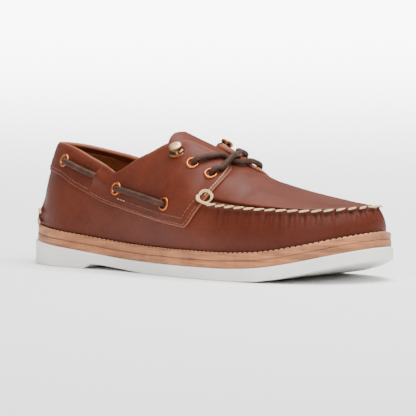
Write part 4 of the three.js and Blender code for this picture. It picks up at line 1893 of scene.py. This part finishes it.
    def edge_row(self, side: Side, inset: float, rear: float, top: float) -> list[Seat]:
        """A line along the quarter's lower edge, round its corner and up its front edge.

        Args:
            side: Which quarter.
            inset: Distance in from the edges.
            rear: Where it starts along the foot.
            top: How far up the last it ends.

        Returns:
            Seats along the line.
        """
        offset = GAP + OVERLAY + 0.1
        spots = []
        corner = QUARTER_FRONT(0.2) - inset * 1.15
        for k in range(50):
            x = mix(rear, corner, k / 49)
            column = column_at(turn_at(x, side.value))
            low = level_cache(column.turn, GAP + OVERLAY)
            rise = (column.point(low + 0.02, offset) - column.point(low, offset)).length / 0.02
            spots.append((x, low + inset / rise))
        low = spots[-1][1]
        for k in range(1, 50):
            up = mix(low, top, k / 49)
            spots.append((QUARTER_FRONT(up) - inset * 1.15, up))
        line = []
        for x, up in spots:
            turn = turn_at(x, side.value)
            lift = self.crease(column_at(turn), up) + self.tunnel(x, up)
            line.append(seat_at(turn, up, offset + lift))
        return line

    def edge_rows(self, side: Side) -> bmesh.types.BMesh:
        """The stitch rows along the quarter's lower and front edges.

        Args:
            side: Which side.

        Returns:
            The mesh.
        """
        mesh = thread(row_of_stitches(self.edge_row(side, 2.0, 70.0, 0.36), 2.8), 2.3, 0.4)
        join(mesh, thread(row_of_stitches(self.edge_row(side, 6.2, 108.0, 0.38), 3.0), 2.5, 0.42))
        return mesh

    def pale_rows(self, side: Side) -> bmesh.types.BMesh:
        """The paler stitches: up the front edge, and where the second row starts.

        Args:
            side: Which side.

        Returns:
            The mesh.
        """
        front = self.edge_row(side, 1.8, 168.0, 0.855)
        start = next(i for i, place in enumerate(front) if i > 50 and place.point.z > 57.0)
        mesh = thread(row_of_stitches(front[start:], 2.4), 1.9, 0.42)
        rear = self.edge_row(side, 6.2, 98.0, 0.38)
        join(mesh, thread(row_of_stitches(rear[:8], 3.2), 2.7, 0.5))
        return mesh

    def band_row(self) -> bmesh.types.BMesh:
        """The stitch row along the heel band's lower edge.

        Returns:
            The mesh.
        """
        seats = []
        for k in range(121):
            turn, up = self.band_place(mix(0.015, 0.985, k / 120), 0.11)
            seats.append(seat_at(turn, up, GAP + BAND + 0.1))
        return thread(row_of_stitches(seats, 3.1), 2.5, 0.4)

    def build(self) -> None:
        """Makes the upper's pieces."""
        finish = self.workshop.finish
        finish(self.shell(), "upper_shell", LEATHER, ["upper"])
        finish(self.lining(), "upper_lining", LINING, [])
        finish(self.tongue(), "tongue_leather", LEATHER, ["tongue"])
        finish(self.band(), "heel_band_leather", LEATHER, ["heel_band"])
        finish(self.band_row(), "heel_band_stitches", RED_THREAD, [])
        finish(self.seam_stitches(), "moccasin_stitches", CREAM_THREAD, [])
        finish(self.heel_stitches(), "heel_seam_stitches", CREAM_THREAD, [])
        for side in Side:
            finish(self.quarter(side), f"quarter_leather_{side.word}", LEATHER, [f"quarter_{side.word}"])
            finish(self.edge_rows(side), f"quarter_stitches_{side.word}", RED_THREAD, [])
            finish(self.pale_rows(side), f"front_edge_stitches_{side.word}", TAN_THREAD, [])
            finish(self.loop(side), f"seam_loop_{side.word}", CREAM_THREAD, [])


@lru_cache(maxsize=None)
def level_cache(turn: float, offset: float) -> float:
    """Where a column crosses the long lower edge."""
    return level_at(turn, offset, LOWER_LINE)


# ---------------------------------------------------------------- hardware and laces
@dataclass
class Hardware:
    """Eyelets and studs."""

    workshop: Workshop

    # place: x, up, thickness of the leather under it
    PLACES: ClassVar[dict[str, tuple[float, float, float]]] = {
        "throat_rear": (162, 0.597, OVERLAY),
        "throat_front": (178, 0.626, OVERLAY),
        "side_rear": (96, 0.28, OVERLAY),
        "side_front": (149, 0.264, OVERLAY),
        "heel": (31, 0.379, BAND),
    }
    STUD: ClassVar[tuple[float, float, float]] = (145, 0.60, OVERLAY)

    def at(self, place: str, side: Side) -> Seat:
        """The seat of an eyelet."""
        x, up, under = self.PLACES[place]
        return seat(x, up, side, GAP + under)

    def eyelet(self, at: Seat) -> bmesh.types.BMesh:
        """A rolled metal ring with its barrel.

        Args:
            at: The seat.

        Returns:
            The mesh.
        """
        outer, hole = 4.9, 3.0
        barrel, flange = -3.4, -0.4
        roll = (outer - hole) / 2
        middle = (outer + hole) / 2
        profile = [(hole, barrel)]
        for k in range(9):
            angle = math.pi * (1 - k / 8)
            profile.append((middle + roll * math.cos(angle), 0.15 + 0.95 * math.sin(angle)))
        profile += [(outer, flange), (hole + 0.35, flange), (hole + 0.35, barrel), (hole, barrel)]
        return lathe(profile, 36, at)

    def hole(self, at: Seat) -> bmesh.types.BMesh:
        """A dark disc in an eyelet's hole: painted shade."""
        return lathe([(0.0, -0.9), (2.98, -0.9), (2.98, -1.4), (0.0, -1.4)], 24, at)

    def stud_cap(self, at: Seat) -> bmesh.types.BMesh:
        """The stud's cap: a thick coin, a little domed.

        Args:
            at: The seat.

        Returns:
            The mesh.
        """
        radius, low, high = 4.75, 3.7, 5.6
        rounding = 0.55
        profile = [(0.0, low), (radius - 0.4, low), (radius, low + 0.4)]
        for k in range(6):
            angle = math.pi / 2 * k / 5
            across = radius - rounding + rounding * math.cos(angle)
            profile.append((across, high - rounding + rounding * math.sin(angle)))
        profile += [(radius * 0.5, high + 0.25), (0.0, high + 0.35)]
        return lathe(profile, 40, at)

    def stud_face(self, at: Seat) -> bmesh.types.BMesh:
        """The cap's top face, paler than its rim: painted highlight on the lit top."""
        return lathe([(0.0, 5.2), (3.95, 5.2), (4.05, 5.75), (3.6, 5.95), (2.0, 6.1), (0.0, 6.15)], 40, at)

    def stud_neck(self, at: Seat) -> bmesh.types.BMesh:
        """The stud's broad foot, which narrows to a neck under the cap.

        Args:
            at: The seat.

        Returns:
            The mesh.
        """
        profile = [
            (0.0, 0.1), (5.6, 0.1), (5.8, 0.5), (5.7, 1.1), (5.2, 1.6),
            (4.5, 2.1), (3.9, 2.7), (3.7, 3.3), (3.8, 4.0), (0.0, 4.0),
        ]
        return lathe(profile, 40, at)

    def stud_foot(self, at: Seat) -> bmesh.types.BMesh:
        """The copper washer under the stud."""
        return lathe([(0.0, -0.5), (6.0, -0.5), (6.15, -0.1), (6.0, 0.3), (0.0, 0.4)], 32, at)

    def build(self) -> None:
        """Makes the eyelets and studs."""
        finish = self.workshop.finish
        for side in Side:
            for place in self.PLACES:
                at = self.at(place, side)
                node = f"eyelet_{place}_{side.word}"
                finish(self.eyelet(at), f"{node}_ring", COPPER, [node])
                finish(self.hole(at), f"{node}_shadow", HOLE_SHADE, [])
            x, up, under = self.STUD
            flat = seat(x, up, side, GAP + under)
            at = Seat(flat.above(-0.4), (flat.normal + Vector((0.1, 0.0, 0.45))).normalized())
            name = f"stud_{side.word}"
            # darker cap rim is painted shade, the pale top face a painted highlight
            finish(self.stud_cap(at), f"{name}_cap", SHADE_BRONZE, [name])
            finish(self.stud_face(at), f"{name}_face", HIGHLIGHT_GOLD, [])
            finish(self.stud_neck(at), f"{name}_neck", STEEL, [])
            finish(self.stud_foot(at), f"{name}_foot", COPPER, [])


@dataclass
class Laces:
    """The leather lace where it shows: the throat's cross and the runs along the sides."""

    workshop: Workshop
    hardware: Hardware
    width: float = 4.3
    height: float = 3.7

    def end(self, at: Seat, towards: Vector) -> list[Vector]:
        """The lace's way up out of an eyelet, leaning towards a point.

        Args:
            at: The eyelet's seat.
            towards: The point it leans towards.

        Returns:
            The points, from inside the eyelet up.
        """
        way = towards - at.point
        way = (way - at.normal * way.dot(at.normal)).normalized()
        return [
            at.above(-1.3) + way * 0.6, at.above(0.5) + way * 0.8, at.above(2.2) + way * 2.4,
            at.above(2.7) + way * 5.0,
        ]

    def run(self, start: Seat, middle: list[Vector], finish: Seat) -> bmesh.types.BMesh:
        """A stretch of lace from one eyelet to another."""
        points = self.end(start, middle[0]) + middle + self.end(finish, middle[-1])[::-1]
        return swept(smooth_path(points, 6), self.width, self.height, start.normal, 14)

    def side_lace(self, side: Side) -> bmesh.types.BMesh:
        """The run between the two side eyelets.

        Args:
            side: Which side.

        Returns:
            The mesh.
        """
        middle = [
            seat(x, up, side, GAP + OVERLAY).above(self.height / 2 + lift)
            for x, up, lift in ((110, 0.277, 0.7), (123, 0.273, 0.5), (136, 0.268, 0.7))
        ]
        return self.run(self.hardware.at("side_rear", side), middle, self.hardware.at("side_front", side))

    def heel_lace(self, side: Side) -> bmesh.types.BMesh:
        """The run from the heel's eyelet into its tunnel at the quarter's edge.

        Args:
            side: Which side.

        Returns:
            The mesh.
        """
        start = self.hardware.at("heel", side)
        points = [
            seat(x, up, side, GAP + BAND).above(lift)
            for x, up, lift in ((48, 0.357, 2.0), (60, 0.340, 1.6), (68, 0.330, 0.9), (74, 0.322, -0.6))
        ]
        path = smooth_path(self.end(start, points[0]) + points, 6)
        return swept(path, self.width, self.height, start.normal, 14)

    def cross(self) -> bmesh.types.BMesh:
        """The two strands over the throat.

        Returns:
            The mesh.
        """
        lateral, medial = Side.LATERAL, Side.MEDIAL
        over = self.height / 2 + GAP + 0.1

        def on(x: float, up: float, side: Side) -> Vector:
            """A point on the facing that the strand lies on."""
            return seat(x, up, side, GAP + OVERLAY).above(over)

        at = self.hardware.at
        lower = self.run(
            at("throat_rear", lateral),
            [on(171.0, 0.74, lateral), on(175.5, 0.83, lateral), Vector((178.0, -7.0, 80.6)),
             Vector((179.6, 0.0, 79.0)), on(182, 0.84, medial)],
            at("throat_front", medial),
        )
        join(lower, self.run(
            at("throat_front", lateral),
            [on(182.5, 0.73, lateral), Vector((181.0, -10.0, 83.6)), Vector((178.0, -2.0, 84.4)),
             Vector((173.5, 6.0, 84.2)), on(167, 0.80, medial)],
            at("throat_rear", medial),
        ))
        return lower

    def build(self) -> None:
        """Makes the laces."""
        finish = self.workshop.finish
        finish(self.cross(), "lace_over_throat", LACE_LEATHER, ["lace_cross"])
        for side in Side:
            word = side.word
            finish(self.side_lace(side), f"lace_run_{word}", LACE_LEATHER, [f"lace_side_{word}"])
            finish(self.heel_lace(side), f"lace_heel_run_{word}", LACE_LEATHER, [f"lace_heel_{word}"])


# ---------------------------------------------------------------- the studio
@dataclass
class Studio:
    """Camera, lights and floor."""

    azimuth: float = math.radians(40.17)
    elevation: float = math.radians(4.23)
    distance: float = 4.0
    lens: float = 490.0

    def camera(self, middle: Vector) -> None:
        """Puts the camera at the shoe's angle, a long lens from far off.

        Args:
            middle: The shoe's middle.
        """
        back = Vector((
            math.sin(self.azimuth) * math.cos(self.elevation),
            -math.cos(self.azimuth) * math.cos(self.elevation),
            math.sin(self.elevation),
        ))
        data = bpy.data.cameras.new("camera")
        data.lens = self.lens
        data.clip_end = 60.0
        made = bpy.data.objects.new("camera", data)
        made.location = middle + back * self.distance
        made.rotation_euler = back.to_track_quat("Z", "Y").to_euler()
        bpy.context.scene.collection.objects.link(made)
        bpy.context.scene.camera = made

    @property
    def away(self) -> Vector:
        """The level direction from the camera past the shoe."""
        return Vector((-math.sin(self.azimuth), math.cos(self.azimuth), 0.0))

    def light(
        self, name: str, place: Vector, size: float, power: float, middle: Vector,
    ) -> bpy.types.AreaLight:
        """A soft square light at a place, aimed at the middle.

        Args:
            name: The light's name.
            place: Where it stands.
            size: Its width.
            power: Its watts.
            middle: What it aims at.

        Returns:
            The light.
        """
        data = bpy.data.lights.new(name, "AREA")
        data.size = size
        data.energy = power
        made = bpy.data.objects.new(name, data)
        made.location = middle + place
        made.rotation_euler = place.to_track_quat("Z", "Y").to_euler()
        bpy.context.scene.collection.objects.link(made)
        return data

    def build(self, middle: Vector) -> None:
        """Makes the floor, the lights and the pale surroundings.

        Args:
            middle: The shoe's middle.
        """
        up = Vector((0.0, 0.0, 1.0))
        left = Vector((-self.away.y, self.away.x, 0.0))
        self.light("overhead", self.away * 0.05 + up * 1.35 + Vector((0.40, 0.0, 0.0)), 1.35, 66.0, middle)
        self.light("front", self.away * -1.6 + up * 0.7 + left * 0.3, 0.8, 11.0, middle)
        far = self.light("backdrop", up * 3.2, 4.6, 700.0, middle + self.away * 4.4)
        far.spread = math.radians(75)
        world = bpy.data.worlds.new("surroundings")
        bpy.context.scene.world = world
        world.use_nodes = True
        sky = world.node_tree.nodes["Background"]
        sky.inputs["Color"].default_value = (1.0, 0.985, 0.965, 1.0)
        sky.inputs["Strength"].default_value = 0.5
        self.floor()

    def floor(self) -> None:
        """Makes the pale floor that the shoe stands on."""
        mesh = bmesh.new()
        bmesh.ops.create_grid(mesh, x_segments=1, y_segments=1, size=30.0)
        data = bpy.data.meshes.new("floor")
        mesh.to_mesh(data)
        mesh.free()
        floor = bpy.data.objects.new("floor", data)
        bpy.context.scene.collection.objects.link(floor)
        material = bpy.data.materials.new("floor_paper")
        material.use_nodes = True
        shader = material.node_tree.nodes["Principled BSDF"]
        shader.inputs["Base Color"].default_value = (0.86, 0.86, 0.86, 1.0)
        shader.inputs["Roughness"].default_value = 0.9
        data.materials.append(material)


def main() -> None:
    """Builds the shoe's looks round its frame."""
    logging.basicConfig(level=logging.INFO, format="%(name)s %(message)s")
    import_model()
    studio = Studio()
    studio.camera(Vector((0.0, 0.0012, 0.045)))
    workshop = Workshop()
    Sole(workshop).build()
    Upper(workshop).build()
    hardware = Hardware(workshop)
    hardware.build()
    Laces(workshop, hardware).build()
    studio.build(Vector((0.0, 0.0, 0.04)))


if __name__ == "__main__":
    main()
